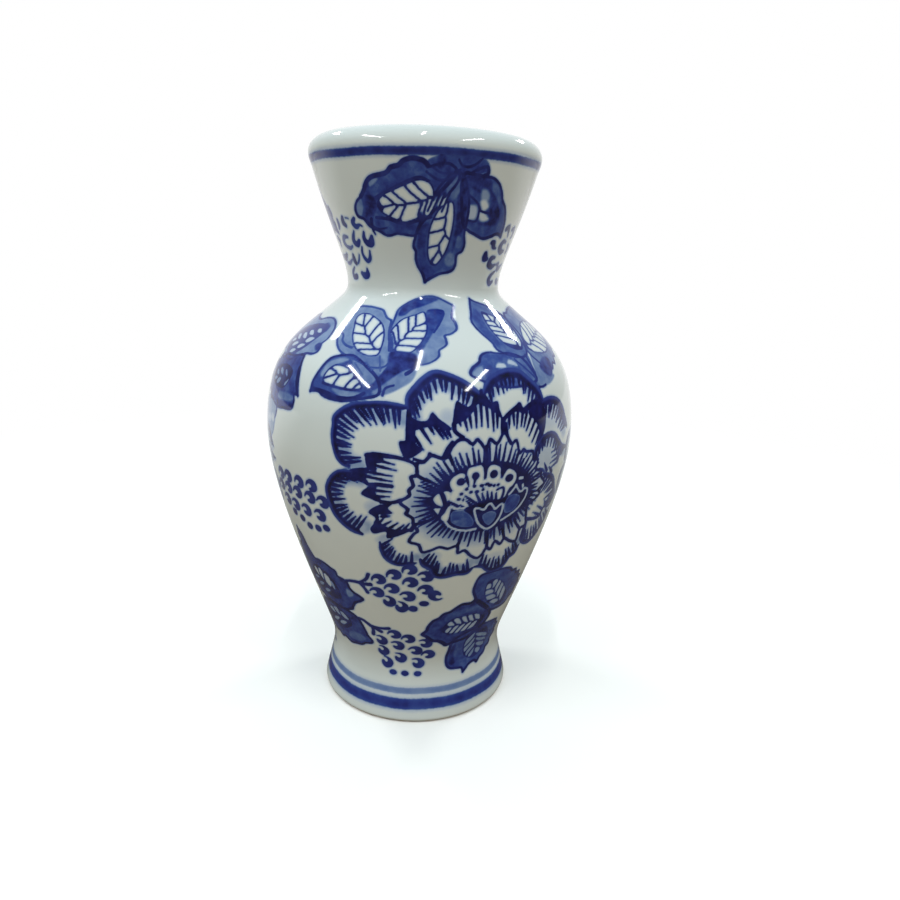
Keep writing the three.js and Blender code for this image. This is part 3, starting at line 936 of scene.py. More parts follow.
def heart(motif):
    """The dark middle of the flower, with its pale band, its stamens and three cups."""
    # The pale band, with four keyhole petals along its top and a drop in each
    motif.spare([
        (-9.9, 102.2), (-9.2, 104.2), (-7, 105.5), (-5.3, 105.1), (-4.2, 102.8), (-3.6, 100.4), (-8, 99.4)])
    motif.spare([
        (-4.7, 105), (-4.2, 107), (-2, 107.5), (-0.3, 107.7), (0.8, 106), (0.9, 103), (1.6, 101),
        (-4, 101)])
    motif.spare([
        (1.8, 103.4), (2.1, 106.4), (3.7, 107.5), (6.2, 106.5), (7, 104.2), (6.7, 102), (1.2, 101.4)])
    motif.spare([
        (7.7, 102.6), (8.6, 104.6), (9.7, 105.5), (11.7, 104.6), (13, 103), (12.8, 100.9), (11, 99),
        (8, 100)])
    motif.spare([
        (-6, 102.5), (2, 103), (8, 102.4), (11.4, 100.6), (10.2, 98), (8.8, 95.2), (6, 94.8), (2, 95),
        (-1, 95), (-3.4, 93.6), (-7, 93.6), (-9.8, 96.6), (-8.6, 100.6)])
    for x, y, across, up in (
            (-6.5, 102.8, 1.35, 1.25), (-1.9, 104.4, 1.25, 1.25), (4.3, 104.4, 1.4, 1.35),
            (10.2, 102.3, 1.6, 1.35)):
        motif.blot(oval((x, y), across, up, 14), 0.94)
    hatches(motif, [
        ((-1.9, 104), (-2.2, 101.8)), ((-4.9, 104.2), (-3.9, 101.4)), ((1.1, 107.4), (1.3, 103.8)),
        ((7.2, 106), (7.1, 102.8))], 1.1)
    # Left side petal
    motif.spare([(-9, 97.6), (-10, 99.7), (-12.4, 99.6), (-14.6, 97.6), (-13.6, 95.6), (-11.4, 94.8)])
    motif.line([(-12.3, 99.4), (-11.4, 97.4), (-10.6, 94.6)], [1.4, 1.5, 1.2], 0.93)
    motif.spare([(-14.4, 94.1), (-12, 94.1), (-12.7, 91.6)], corners=True)
    motif.spare_line([(14.6, 101.5), (15.8, 101.4)], 1.1, wash=0.1)
    motif.spare_line([(16.3, 98.9), (16.5, 98.1)], 1.0, wash=0.15)
    # Dots on the pale band
    for x, y, across in (
            (-4.5, 100.2, 0.7), (-3, 99.1, 0.7), (-6, 98.7, 0.65), (-6.7, 96.9, 0.7), (-5.2, 96.6, 0.4),
            (-1, 99.1, 0.85), (1, 99.6, 0.6), (0.4, 101, 0.8), (2.2, 101.3, 0.9), (3.3, 100.8, 0.9),
            (4.8, 100.5, 0.6), (6.2, 100.6, 0.6), (-2, 101, 0.7)):
        motif.blot(oval((x, y), across, 0.55, 10), 0.92)
    # Stamens, which grow dark towards their base
    for start, end in (
            ((-4.8, 98), (-0.8, 94.9)), ((-1.2, 98.4), (0.7, 95)), ((0.8, 98.2), (2.1, 94.8)),
            ((2.5, 98.8), (3.3, 94.8)), ((4.1, 98.4), (4.6, 94.8)), ((5.8, 97.8), (6.1, 94.8)),
            ((-4.2, 96.2), (-1.4, 93.4)), ((-6, 94.8), (-3, 92.6)), ((-9.8, 96.4), (-6.8, 94.5))):
        motif.line([start, end], [0.6, 0.95, 1.1], 0.9)
    motif.line([(6, 98.9), (8, 99.4), (8.6, 98), (8, 95)], [0.7, 0.9, 1.1], 0.9)
    motif.blot([
        (-3.6, 93.9), (-1, 94.9), (2, 95.6), (5, 95.5), (8.8, 95.5), (10.3, 97), (12, 93), (4, 91),
        (-2, 92)], 0.95)
    # Cups: a pale outline, a dark ring and a blue middle
    motif.blot([(-10, 93), (-3, 93.2), (0, 91), (0, 86), (-5, 85.4), (-9.6, 88)], 0.93)
    motif.spare([
        (-8.2, 92.6), (-4.8, 92.7), (-1.8, 90.2), (-0.8, 87), (-4, 86.6), (-7.8, 88.4), (-8.6, 90.4)],
        wash=0.7)
    motif.pool(-6.8, 88.9, 1.2, 0.8, 0.5)
    motif.spare_line([
        (-4.6, 93.6), (-7.4, 93.6), (-9.2, 94.4), (-10.1, 92.4), (-10.7, 90.6), (-9.6, 88.3), (-8, 86.8),
        (-5.4, 85.6), (-2.6, 85.2), (0.4, 85.4)], 0.85, wash=0.06)
    motif.spare([(-9, 95), (-10.2, 93), (-11.7, 90.4), (-9.6, 89.2), (-9, 92.6)])
    motif.spare([(10.2, 90), (10, 94.4), (12.6, 96.2), (15.6, 95), (15.6, 92.4), (13.4, 90)], wash=0.74)
    motif.spare_line([
        (10.9, 96.4), (12.2, 97.6), (13.4, 99.2), (13.4, 99.2), (15, 97), (16.2, 96.6), (17.4, 97.4),
        (18.8, 96.8), (18.6, 94.6), (17.4, 92.4), (15.6, 90.4), (13, 88.8), (9.2, 87.1)], 0.85, wash=0.1)
    motif.blot([
        (-0.8, 93), (2.4, 92), (4, 94), (6.6, 92), (9, 93), (8.6, 88.4), (4.8, 85), (1, 87.4)], 0.93)
    motif.spare([(2, 90.2), (4.6, 91.4), (7, 90.2), (6.4, 87.6), (4.8, 86.2), (3.2, 87.4)], wash=0.62)
    motif.spare_line([
        (-1.1, 92.9), (0.2, 93.1), (2.2, 92.3), (3.2, 93.8), (4.4, 94.2), (5.4, 93.1), (6.4, 92),
        (7.8, 93.2), (9, 93.2), (9, 90.6), (8.2, 88), (6.6, 85.8), (4.6, 84.8), (3, 85.4), (0.9, 87.4),
        (-0.4, 90.2)], 0.85, closed=True, wash=0.06)


def peony(motif):
    """The whole flower, from its outer petals inwards."""
    outer_petals(motif)
    right_petals(motif)
    second_petals(motif)
    inner_ring(motif)
    heart(motif)


def blade(motif, outline, midrib, pairs, slant, depth, line=0.75, paper=0.0, start=0.06, grown=0.6):
    """A leaf's blade: dark, with pairs of pale cells that slant forward from the midrib to the outline.
    line is the width of the midrib that the cells keep clear of, paper the wash that stays in them, start
    the share of the midrib before the first pair, and grown how much each cell grows in width."""
    closed = smooth(outline, True)
    if motif.near(closed, 1.5).size == 0:
        return
    motif.blot(outline, depth)
    rib = smooth(midrib)
    length = travelled(rib)
    usable = length[-1] * (0.93 - start)
    reach = np.linspace(0.0, CELL_REACH, CELL_STEPS + 1)
    cells = []
    for k in range(pairs):
        for turn in (1.0, -1.0):
            place = k + 0.25 + 0.15 * turn
            places = length[-1] * start + usable * (place + np.array([-0.3, 0.0, 0.3])) / pairs
            behind, foot, ahead = np.stack([np.interp(places, length, rib[:, i]) for i in (0, 1)], -1)
            way = (ahead - behind) / max(np.hypot(*(ahead - behind)), 1e-9)
            lean = slant * (0.9 + 0.2 * motif.chance.random())
            out = np.array([way[0] * np.cos(lean) - turn * way[1] * np.sin(lean),
                            way[1] * np.cos(lean) + turn * way[0] * np.sin(lean)])
            ray = foot + reach[:, None] * out
            gone = np.flatnonzero(~is_inside(ray[:, 0], ray[:, 1], closed))
            last = (reach[gone[0]] if gone.size else reach[-1]) - line * 0.5
            width = min(usable / pairs * np.sin(slant) - line * 0.5, last * 0.8) + 0.25
            if last > 1.2 and width > 0.5:
                cells.append((foot + out * line * 0.35, foot + out * last, width))
    motif.cells(outline, cells, paper, grown)


def celled(motif, outline, cells, depth=0.82, paper=0.0, grown=0.6):
    """A leaf's blade whose pale cells are set one by one: where each starts and ends, and its width."""
    motif.blot(outline, depth)
    motif.cells(outline, cells, paper, grown)


def surround(motif, outline, wash, width, depth=0.88):
    """A leaf's scalloped surround: thin colour bounded by a brush line."""
    motif.tint(outline, wash)
    motif.line(outline, [width, width * 0.8, width * 1.1, width * 0.85, width], depth, closed=True)


def neck_leaves(motif):
    """Three leaves that hang from under the rim: one to the right, one down the neck, one to the left."""
    # Right leaf
    surround(motif, [
        (8, 203), (12, 203.9), (15.5, 203.7), (18.5, 203.4), (21, 202), (22.6, 199.8), (23.4, 197.4),
        (25.2, 195.2), (26.1, 192.4), (26.4, 189.6), (25.6, 186.2), (25.6, 186.2), (23.2, 186.8),
        (20.5, 185.9), (17, 185.1), (13.8, 186.2), (11.2, 187.4), (9, 190)], 0.72, 1.1)
    motif.tint([
        (9, 203.4), (13.5, 203.8), (17.6, 203.2), (18, 200), (15, 198.6), (12.2, 199.6), (9.4, 201.2)],
        0.86)
    motif.tint([
        (18.8, 202.2), (21, 200.8), (22.2, 198), (23.4, 195.4), (22, 195), (20.4, 198), (18.6, 200)], 0.6)
    motif.tint([
        (17.8, 200), (20.8, 197.4), (23, 193), (22.6, 190), (19.4, 189.2), (14.4, 189.4), (14.8, 191.2),
        (18.2, 192.6), (18.4, 196)], 0.86)
    motif.tint([(10.6, 194.8), (13.2, 195), (13.8, 193.2), (13, 191), (10.6, 191)], 0.2, 1.0)
    motif.tint([(14.8, 199.8), (17.2, 199.6), (17.4, 197), (15, 196.6)], 0.4, 1.0)
    motif.tint([(14.6, 196.3), (16.6, 196.8), (17.8, 194.9), (15.8, 193.7)], 0.06, 0.9)
    motif.tint([(14.8, 193.6), (16.8, 192.8), (18.4, 191.2), (16.2, 190.4), (14.7, 191.2)], 0.1, 0.9)
    motif.line([(10.6, 198), (13.6, 195.8), (15, 193.6), (18.6, 193)], [0.7, 0.7, 0.8], 0.88)
    motif.line([(10.4, 190.6), (13.6, 190.4), (14.4, 193.4)], 0.7, 0.88)
    # Middle leaf, which hangs down the neck
    surround(motif, [
        (8.5, 203), (5, 204), (0.5, 199), (-3, 192), (-4.6, 187.8), (-5.4, 184.6), (-5.8, 182), (-5, 180.2),
        (-4.9, 177.8), (-4, 175.4), (-2.7, 173.4), (-1.8, 170.9), (-1.8, 170.9), (0, 172), (2.6, 173.4),
        (6, 174.2), (7.6, 176), (7.9, 179.6), (9.6, 180.8), (10.3, 183.2), (9.9, 186.2), (10.4, 190),
        (10.6, 196)], 0.72, 0.9)
    motif.tint([
        (-4.6, 186.6), (-4.4, 179), (-2.8, 174), (-1.2, 171.8), (1.6, 174), (0, 175.4), (-1.8, 177.6),
        (-2, 184), (-1.2, 188.6), (-2.6, 189)], 0.83)
    motif.tint([
        (6.6, 202), (9.8, 202), (10, 193), (9.6, 188), (7.6, 184), (6.2, 180), (6.8, 188), (6.9, 195)],
        0.85)
    motif.tint([(4.8, 176), (7, 176.4), (7.4, 179), (5.4, 180.2), (4, 178)], 0.55)
    motif.tint([(7.4, 182), (9.2, 182), (9.4, 184.6), (7.8, 185.6)], 0.6)
    celled(motif, [
        (3.6, 195.8), (5.6, 195.8), (6.3, 192.6), (6.1, 187.6), (5, 182), (3.4, 178.4), (1.4, 176),
        (-0.4, 176.4), (-1.5, 179), (-1.7, 183), (-1.4, 187.4), (-0.2, 191), (1.4, 193.8)],
        [((3.4, 195.2), (0.7, 190.6), 2.9), ((3.2, 190.6), (-0.8, 187.2), 3.0),
        ((2.8, 186.4), (-1, 182.8), 3.3), ((1.7, 181.9), (-0.7, 178.4), 2.5),
        ((4.7, 195.2), (5.3, 185.4), 2.3), ((3.6, 184.8), (3.6, 179.6), 2.5),
        ((2, 180.6), (1.3, 177.2), 1.8)], 0.88)
    # Left leaf
    surround(motif, [
        (4, 206.4), (0, 206), (-2.5, 205.4), (-4, 207), (-7, 207.8), (-9.6, 207.2), (-11.2, 205.6),
        (-13.5, 205.2), (-15.2, 203.4), (-17.2, 203), (-19.6, 202.6), (-21.6, 201), (-22.5, 198.4),
        (-23.4, 197), (-25.2, 195.4), (-26.1, 193.2), (-25, 190.9), (-22.6, 190), (-20.8, 188.2),
        (-19.6, 187.4), (-17, 186.4), (-14, 185), (-11, 185.7), (-8.6, 185.5), (-5.4, 185.4), (-3.6, 189),
        (0, 193), (4, 198), (7, 203)], 0.75, 0.9)
    motif.line([
        (-2.5, 205.6), (-4, 207), (-7, 207.6), (-9.6, 207), (-11.2, 205.6), (-13.5, 205), (-15.2, 203.4),
        (-19.6, 202.4), (-21.6, 200.8), (-22.5, 198.4), (-23.6, 196.8)], 1.5, 0.88)
    motif.tint([(-20.6, 200.8), (-18.6, 202), (-17.6, 201.6), (-20, 199.6)], 0.45)
    motif.tint([(-25.4, 194.6), (-23.6, 196), (-22.8, 193.4), (-23.6, 191), (-25.2, 192)], 0.5)
    motif.tint([
        (-22, 197), (-18.8, 196.8), (-18, 193.6), (-19, 190.6), (-19.4, 187.6), (-21.6, 189.2), (-22, 193)],
        0.87)
    motif.line([(-19.8, 190), (-19.4, 187), (-18.4, 185.3)], [1.2, 0.9, 0.5], 0.9)
    motif.line([(-19.4, 187.8), (-17.2, 187), (-14.4, 187.4)], [0.9, 0.6], 0.88)
    motif.line([(-1, 191), (-5, 189.8), (-9, 188.7), (-13.5, 190), (-18, 190.5)], [1.0, 1.1, 1.0], 0.86)
    motif.line([(-18.6, 196), (-14, 198.5), (-9, 201), (-5, 202.4), (-2, 201.4)], [1.4, 1.0, 0.8], 0.86)
    celled(motif, [
        (-0.2, 197.8), (-1.6, 201), (-5, 202), (-9, 200.6), (-12.6, 199), (-16, 197.4), (-18, 194.6),
        (-16, 191.8), (-12.4, 190), (-8.6, 189), (-4, 190.6), (-1, 191.8)],
        [((-0.8, 198.2), (-5.6, 201.2), 2.8), ((-3.2, 196.8), (-8, 200), 2.3),
        ((-5.6, 195.6), (-12, 198.8), 2.7), ((-9.6, 195.1), (-14.8, 197.4), 1.7),
        ((-13.2, 194.7), (-16.2, 196), 1.8), ((-1.2, 195.6), (-2.5, 192.2), 1.5),
        ((-2.9, 195), (-4.8, 191.7), 1.6), ((-4.3, 194.4), (-8.9, 190.2), 3.9),
        ((-9.5, 193.6), (-12.4, 190.8), 1.8), ((-12, 193.6), (-15, 192.2), 1.7)], 0.88)
    for start, end, width in (
            ((0.8, 196.6), (-0.9, 193.4), 0.9), ((2.2, 197), (1, 194), 0.8),
            ((3.9, 197.2), (1.8, 194.6), 1.1), ((-0.4, 195.4), (-2, 192), 0.9)):
        motif.cell(start, end, width)
    # Stalk, gathered colour and strokes where the leaves meet
    motif.tint([
        (-4, 206), (1.5, 209), (14, 209), (16.5, 205), (8, 203), (6, 199), (3, 197.6), (0, 199.6),
        (-3, 202.6)], 0.74)
    motif.tint([(3.4, 199.6), (6.8, 203), (7.4, 199), (5.6, 196.4), (3.8, 197.4)], 0.58)
    motif.tint([(0.4, 209), (2.6, 209), (2.2, 205.4), (0.2, 205)], 0.86)
    for x in (-0.4, 1.0, 2.4, 3.8):
        motif.line([(x + 0.4, 198), (x - 1.6, 192.8)], [0.8, 0.6], 0.88)
    motif.line([(-3, 204), (0.6, 201.9), (4, 202.4), (6.6, 204.4)], [0.7, 0.9, 0.7], 0.86)
    motif.line([(-1.6, 205.6), (1.6, 203.8), (5, 204.2)], [0.7, 0.8, 0.6], 0.85)
    motif.line([(7, 205), (2.4, 199.6), (0.4, 197.6)], [0.8, 1.3, 1.2], 0.88)
    motif.line([(6.4, 207.8), (7.6, 206.2), (10, 206), (12.4, 207.2), (14.4, 209.2)], [0.7, 0.9, 0.7], 0.9)
    motif.line([
        (10, 204), (12.6, 205.4), (15.8, 206.4), (16.4, 204.6), (14.8, 203.8)], [0.7, 1.0, 1.3], 0.9)


def berry(motif, x, y, turn, size=1.07):
    """One berry, a curled brush dab: a thin tail over the top swells down the right side and curls back."""
    hook = np.array([(-2.3, -0.5), (-1.75, 0.65), (-0.6, 1.3), (0.6, 1.1), (1.3, 0.2), (1.15, -0.7),
                     (0.3, -1.3), (-0.5, -1.35)]) * size
    lean = np.radians(turn)
    spun = hook @ np.array([[np.cos(lean), np.sin(lean)], [-np.sin(lean), np.cos(lean)]])
    widths = np.array([0.5, 0.9, 1.4, 2.1, 2.5, 2.4, 1.8, 1.0]) * size
    motif.line(spun + (x, y), widths, BERRY_DEPTH, steps=3)


def dab(motif, x, y, across, up):
    """One berry as a plain round dab."""
    motif.blot(oval((x, y), across, up, 10), BERRY_DEPTH)


def stalk(motif, path, width=1.3):
    """A stalk that grows thicker towards the berries."""
    motif.line(path, [width * 0.8, width, width * 1.2], STALK_DEPTH)


def hanging_berries(motif):
    """Berries of the lower bunch, on a forked stalk. Placed round the line where x is 0."""
    stalk(motif, [(-20, 59.5), (-16, 60.9), (-12.5, 61.3), (-10.5, 61)])
    stalk(motif, [(-12.5, 61.2), (-9.6, 63.4), (-8.4, 66)], 1.2)
    stalk(motif, [(-12.5, 61.4), (-10, 61.2), (-8, 61.4)], 1.4)
    stalk(motif, [(-12.5, 61.2), (-10.6, 59.4), (-9.4, 57.4)], 1.2)
    for x, y, turn in (
            (-5, 64.4, 8), (0.3, 67.2, 12), (5.6, 69.8, 15), (10.8, 67, -25), (5.6, 64.2, 5),
            (-0.7, 60.9, -5), (10.5, 60.9, -5), (-6, 58.3, -15), (4.5, 57.8, -25), (-2, 54.8, -75),
            (2.1, 52.6, -85), (13.8, 58, 130)):
        berry(motif, x, y, turn)
    dab(motif, 9.8, 54.4, 1.7, 1.3)
    dab(motif, 6, 51.9, 1.6, 1.5)


def foot_berries(motif):
    """Berries of the lowest bunch, which reaches down to the crease above the foot."""
    stalk(motif, [(-18, 41), (-16, 42.6), (-13, 42.6), (-10, 40.6)])
    stalk(motif, [(-10, 40.8), (-6.5, 40.3), (-3, 40.9)], 1.2)
    stalk(motif, [(-9.6, 40.8), (-9, 38.6), (-9.2, 36.4)], 1.3)
    stalk(motif, [(-9.6, 40.6), (-7.6, 39.4), (-6, 38.6)], 1.3)
    for x, y, turn in (
            (-1.3, 38.2, -10), (3.5, 36.4, -5), (-6.3, 34.2, -60), (-0.4, 32.6, -40), (9.5, 34.2, -45),
            (5.8, 30.4, -25), (-6, 28.8, -75), (0.2, 26.4, -65), (10.2, 28.2, -5), (6.4, 24.2, -55),
            (-4.8, 23.4, -80)):
        berry(motif, x, y, turn, 1.02)
    for x in (-2.5, 1.8, 6.4):
        dab(motif, x, 19.4, 1.4, 1.1)


def side_berries(motif):
    """Berries of the bunch beside the flower, in four rows."""
    for x, y, turn in (
            (-23, 96.7, -5), (-29.3, 96.5, 0), (-36, 96.7, 5), (-41.6, 96.4, 5), (-18.6, 91.8, -15),
            (-24.4, 92.1, -10), (-31, 92.2, -10), (-37, 92.2, 0), (-43, 91.6, 0), (-20.6, 86.3, -25),
            (-27.2, 86.5, -25), (-33.5, 86.7, -30), (-39.5, 87, -20)):
        berry(motif, x, y, turn)
    for x, y in ((-18.5, 81.7), (-22.4, 80.5), (-26.8, 80.1), (-30.6, 82), (-35.4, 83)):
        dab(motif, x, y, 1.6, 1.4)


# Berries to the left and right of the neck's leaves, as brush strokes: points, widths along them and depth
LEFT_BERRIES = [
    ([(-2, 190.5), (-2.3, 189), (-1.3, 188)], [1.4, 2.2, 1.5], 0.88),
    ([(-0.4, 190.4), (1.2, 190.2)], [0.7, 0.5], 0.62),
    ([(4, 190.2), (2.9, 188.8), (4, 187.6), (5.6, 188.2), (6.6, 187.8)], [1.2, 1.8, 1.9, 1.1, 0.6], 0.76),
    ([(-6, 189.6), (-5.9, 188.2), (-6.6, 187)], [1.5, 1.7, 0.9], 0.76),
    ([(-9.4, 188.6), (-9.2, 187), (-8.2, 185.6)], [1.9, 1.8, 0.9], 0.84),
    ([(-11, 193.6), (-10, 191.8), (-10.6, 190)], [2.0, 1.9, 1.0], 0.82),
    ([(-2.4, 184.3), (-4.6, 184.3), (-6, 182.8), (-4.8, 181.3), (-2.6, 180.7), (-0.8, 181.4)],
     [1.0, 1.6, 1.9, 1.4, 1.4, 0.7], 0.74),
    ([(-11.4, 184), (-10, 183), (-10.4, 181.4)], [1.8, 1.9, 1.0], 0.8),
    ([(2.2, 186.2), (0.9, 184), (0.9, 182.6), (2.2, 182), (3.5, 183.2)], [0.7, 1.3, 1.9, 2.0, 1.2], 0.78),
    ([(6.6, 186), (6, 184), (6.7, 182.5), (8.2, 182.4), (9.3, 184.6)], [0.8, 1.5, 2.2, 2.4, 1.2], 0.82),
    ([(-2.1, 178.4), (-2.1, 176.6), (-1.5, 175.8)], [1.2, 2.2, 1.6], 0.9),
    ([(-0.3, 175.8), (0.6, 176.8), (1.4, 178.6)], [0.9, 0.9, 0.5], 0.74),
    ([(3.9, 181.2), (3.3, 178.8), (4.7, 176.7), (6.1, 177.6), (6.8, 180)], [0.7, 1.1, 1.5, 1.3, 0.7], 0.8),
    ([(-11.8, 177.8), (-8.8, 177.4), (-6.6, 178.6)], [1.4, 2.5, 1.0], 0.88),
    ([(-8, 175.7), (-5.8, 175.7), (-3.7, 176.8)], [1.0, 1.4, 0.7], 0.8),
    ([(-3.2, 174.4), (-5, 172.6), (-4.5, 171.2), (-2.7, 171.4)], [0.7, 1.3, 1.6, 2.0], 0.84),
    ([(0.8, 172.6), (2, 171.9), (3.5, 172.2), (3.7, 174.2)], [1.4, 2.4, 2.0, 0.7], 0.82),
]
RIGHT_BERRIES = [
    ([(0.9, 188.6), (2.2, 189.2), (3, 188), (3.8, 186.2)], [1.7, 1.9, 1.2, 0.6], 0.9),
    ([(5.6, 188.6), (7.4, 188.8), (8.2, 187), (7.4, 186)], [1.2, 2.0, 2.0, 1.2], 0.8),
    ([(-4.8, 184), (-3.8, 183.8), (-3.2, 182.6), (-1.6, 182)], [1.5, 2.1, 1.4, 0.6], 0.9),
    ([(4, 184.2), (2, 184.4), (1, 182.6), (2.4, 181), (4.6, 181.2)], [0.9, 1.7, 2.6, 2.0, 1.0], 0.88),
    ([(7.2, 183.4), (8.4, 182), (7.6, 181)], [1.2, 2.4, 1.6], 0.84),
    ([(-6, 180.2), (-5.6, 178.8), (-4.4, 178.4)], [1.8, 2.6, 1.3], 0.9),
    ([(-0.2, 179), (-2.2, 178.6), (-2.4, 176.8), (-0.6, 175.9), (1.6, 176.6)],
     [1.0, 2.0, 2.3, 1.8, 0.8], 0.89),
    ([(2.2, 176.6), (3.8, 176.8), (4.4, 175.2), (6.4, 175.8), (8.4, 176.8)],
     [0.8, 1.6, 1.8, 1.2, 0.8], 0.84),
    ([(3.2, 174.4), (1, 173.4), (-0.4, 171.6), (0.4, 170.4), (2.6, 171)], [0.7, 1.3, 1.9, 1.8, 0.8], 0.88),
    ([(6, 171), (8, 170.8)], [2.0, 1.8], 0.85),
]


def neck_berries(motif, strokes):
    """Berries that hang beside the leaves of the neck, each a stroke or two of its own."""
    for points, widths, depth in strokes:
        motif.line(points, widths, depth)


def shoulder_leaves(motif):
    """Three leaves above the flower, with the stalks that they spring from."""
    # Leaf to the upper left
    surround(motif, [
        (0, 150), (-0.6, 155), (-2.4, 156.6), (-3.4, 158.2), (-4.6, 159.8), (-6.6, 160.4), (-10, 161),
        (-14.3, 160.6), (-15.8, 157.6), (-16.8, 154), (-17.6, 150.5), (-17.9, 147.6), (-16.8, 144),
        (-14.8, 141.6), (-12, 140.2), (-8, 139), (-3, 137), (2, 138), (3, 144)], 0.46, 0.8, 0.72)
    motif.line([
        (-0.6, 155.6), (-2.4, 156.6), (-3.4, 158.2), (-4.6, 159.8), (-6.6, 160.4), (-10, 160.9),
        (-14, 160.3), (-15.4, 157.6), (-16.6, 153), (-17.2, 149.6), (-15.6, 147.6), (-15.2, 145.6),
        (-13.4, 144), (-10.8, 143.2)], [0.8, 0.9, 0.8, 0.8, 1.0], 0.7)
    motif.tint([
        (-15.4, 157), (-13.8, 158.8), (-12.6, 157.8), (-13.6, 155), (-14.4, 151.6), (-16.4, 151)], 0.5)
    motif.tint([
        (-12.6, 142.6), (-9, 143), (-4.4, 140.4), (-0.8, 141.4), (1.6, 137), (-2, 134.6), (-6, 136.6),
        (-10.4, 140)], 0.55)
    celled(motif, [
        (-1.2, 141.6), (-0.8, 145.4), (-1.2, 149.4), (-2.6, 153.2), (-4.8, 155.6), (-8, 157.6), (-11, 158),
        (-12.9, 156.8), (-13.5, 154.6), (-12.9, 151.4), (-12.3, 148), (-10.8, 144.6), (-8.6, 142.2),
        (-5.6, 140.8), (-3, 140.7)],
        [((-10.2, 152.9), (-12, 157), 2.5), ((-8.4, 149.2), (-12.8, 151.8), 2.8),
        ((-5.6, 145.9), (-12, 148.1), 3.3), ((-3.4, 143.7), (-9.8, 144.4), 2.3),
        ((-1.2, 141.9), (-7.8, 142.2), 2.3), ((-9, 153), (-9.4, 157.4), 2.2),
        ((-6.6, 148.9), (-6.3, 155.6), 3.2), ((-4.8, 146.5), (-3.5, 153), 2.6),
        ((-3, 144), (-1.7, 149.4), 2.8)])
    # Leaf to the upper right, darker along its far side
    surround(motif, [
        (0, 150), (0.2, 156), (0.4, 160), (1.6, 162.2), (4, 164.6), (7, 166), (10, 166.3), (13, 165.3),
        (16, 163.6), (17.6, 162.4), (17.6, 160), (18, 157.4), (19.6, 155), (20.4, 152.4), (19, 150.5),
        (17.2, 149.8), (18, 147.8), (18.4, 146), (17.2, 144.6), (16.6, 143.8), (16.9, 141.6), (15.4, 139.9),
        (13.6, 139), (11.6, 138.8), (8, 140), (4, 141), (2, 144)], 0.47, 0.8, 0.74)
    motif.tint([
        (1, 158), (1.4, 162), (4, 164.8), (8, 166), (12, 165.4), (9, 163), (5, 160.6), (3, 158)], 0.75)
    motif.tint([
        (9.6, 160.6), (14.2, 160.6), (14.6, 156), (13.6, 152), (12.4, 147), (11.4, 143), (9.6, 144),
        (10.8, 150), (9.6, 155)], 0.76)
    motif.line([(10, 160.4), (14.4, 160.2), (14.6, 155.6), (13.6, 151)], [0.8, 1.0, 0.7], 0.8)
    celled(motif, [
        (2.4, 143.4), (4.6, 142.6), (8.2, 142.6), (10.2, 145), (11.2, 148), (11.6, 151), (11, 154.4),
        (9.6, 158.6), (8.4, 160), (6.4, 158.8), (4.2, 157.6), (2.4, 156.2), (1, 153.6), (0, 150.2),
        (0.6, 146.4)],
        [((2.8, 144.2), (0.7, 150), 1.6), ((3.1, 146.3), (1.6, 153.2), 1.6),
        ((4, 148.2), (3.3, 156.6), 3.1), ((6.2, 151.8), (5.7, 157.6), 2.0), ((8, 154), (8.4, 159.3), 2.3),
        ((3.8, 144.3), (8.9, 143.8), 2.2), ((4.5, 146.2), (10.4, 147.5), 2.5),
        ((5.7, 149.4), (11, 150.2), 2.8), ((7.1, 152.4), (10.8, 153), 1.9)])
    motif.tint([(0.2, 151), (1, 151), (3.4, 143.8), (1.6, 143), (-0.4, 147)], 0.45)
    for x in (0.0, 0.9, 1.8):
        motif.line([(x * 0.7, 150.4 - x), (1.6 + x * 0.6, 143)], 0.55, 0.8)
    # Leaf to the lower left
    surround(motif, [
        (-23.2, 127.4), (-23.2, 127.4), (-22.8, 130.2), (-21.2, 133.4), (-19.2, 136.6), (-17.4, 138.6),
        (-15, 139.7), (-12, 140.3), (-9, 140.3), (-4, 137), (0, 133.4), (1, 129), (-3, 127.4), (-5, 127),
        (-8, 126.2), (-11, 125.8), (-15, 126), (-18, 126.6), (-20, 127.7)], 0.72, 1.0, 0.86)
    motif.tint([
        (-18.6, 136.2), (-16.6, 138), (-12.4, 139.4), (-10.6, 138.6), (-14.6, 136.8), (-17.4, 134.4),
        (-19, 132.4), (-20, 133)], 0.42)
    celled(motif, [
        (-4.4, 130), (-5.6, 132.6), (-8, 135), (-11, 136.6), (-14.6, 136.9), (-17.4, 135), (-19, 131.6),
        (-17, 130), (-13, 129.6), (-9, 129.2)],
        [((-9.8, 134.5), (-15, 136), 2.6), ((-14.2, 134.3), (-18, 133), 1.3),
        ((-13.2, 133.1), (-17.6, 130.8), 1.9), ((-8.8, 134), (-13.2, 130.5), 3.0),
        ((-6.2, 132), (-9.2, 130.1), 1.8), ((-5, 130.8), (-6.9, 129.7), 1.3)], 0.86)
    motif.tint([(-14.6, 129.2), (-9, 129), (-5, 128.8), (-4.4, 128.2), (-8, 127), (-12, 127.2)], 0.45)
    motif.line([(-18.6, 130.4), (-14, 129.8), (-9, 129.4), (-5.4, 129.6)], [0.9, 0.7], 0.86)
    motif.line([
        (-22.6, 128.2), (-17, 127.6), (-12, 126.5), (-7, 127), (-3.6, 128.8)], [1.2, 1.6, 1.1], 0.87)
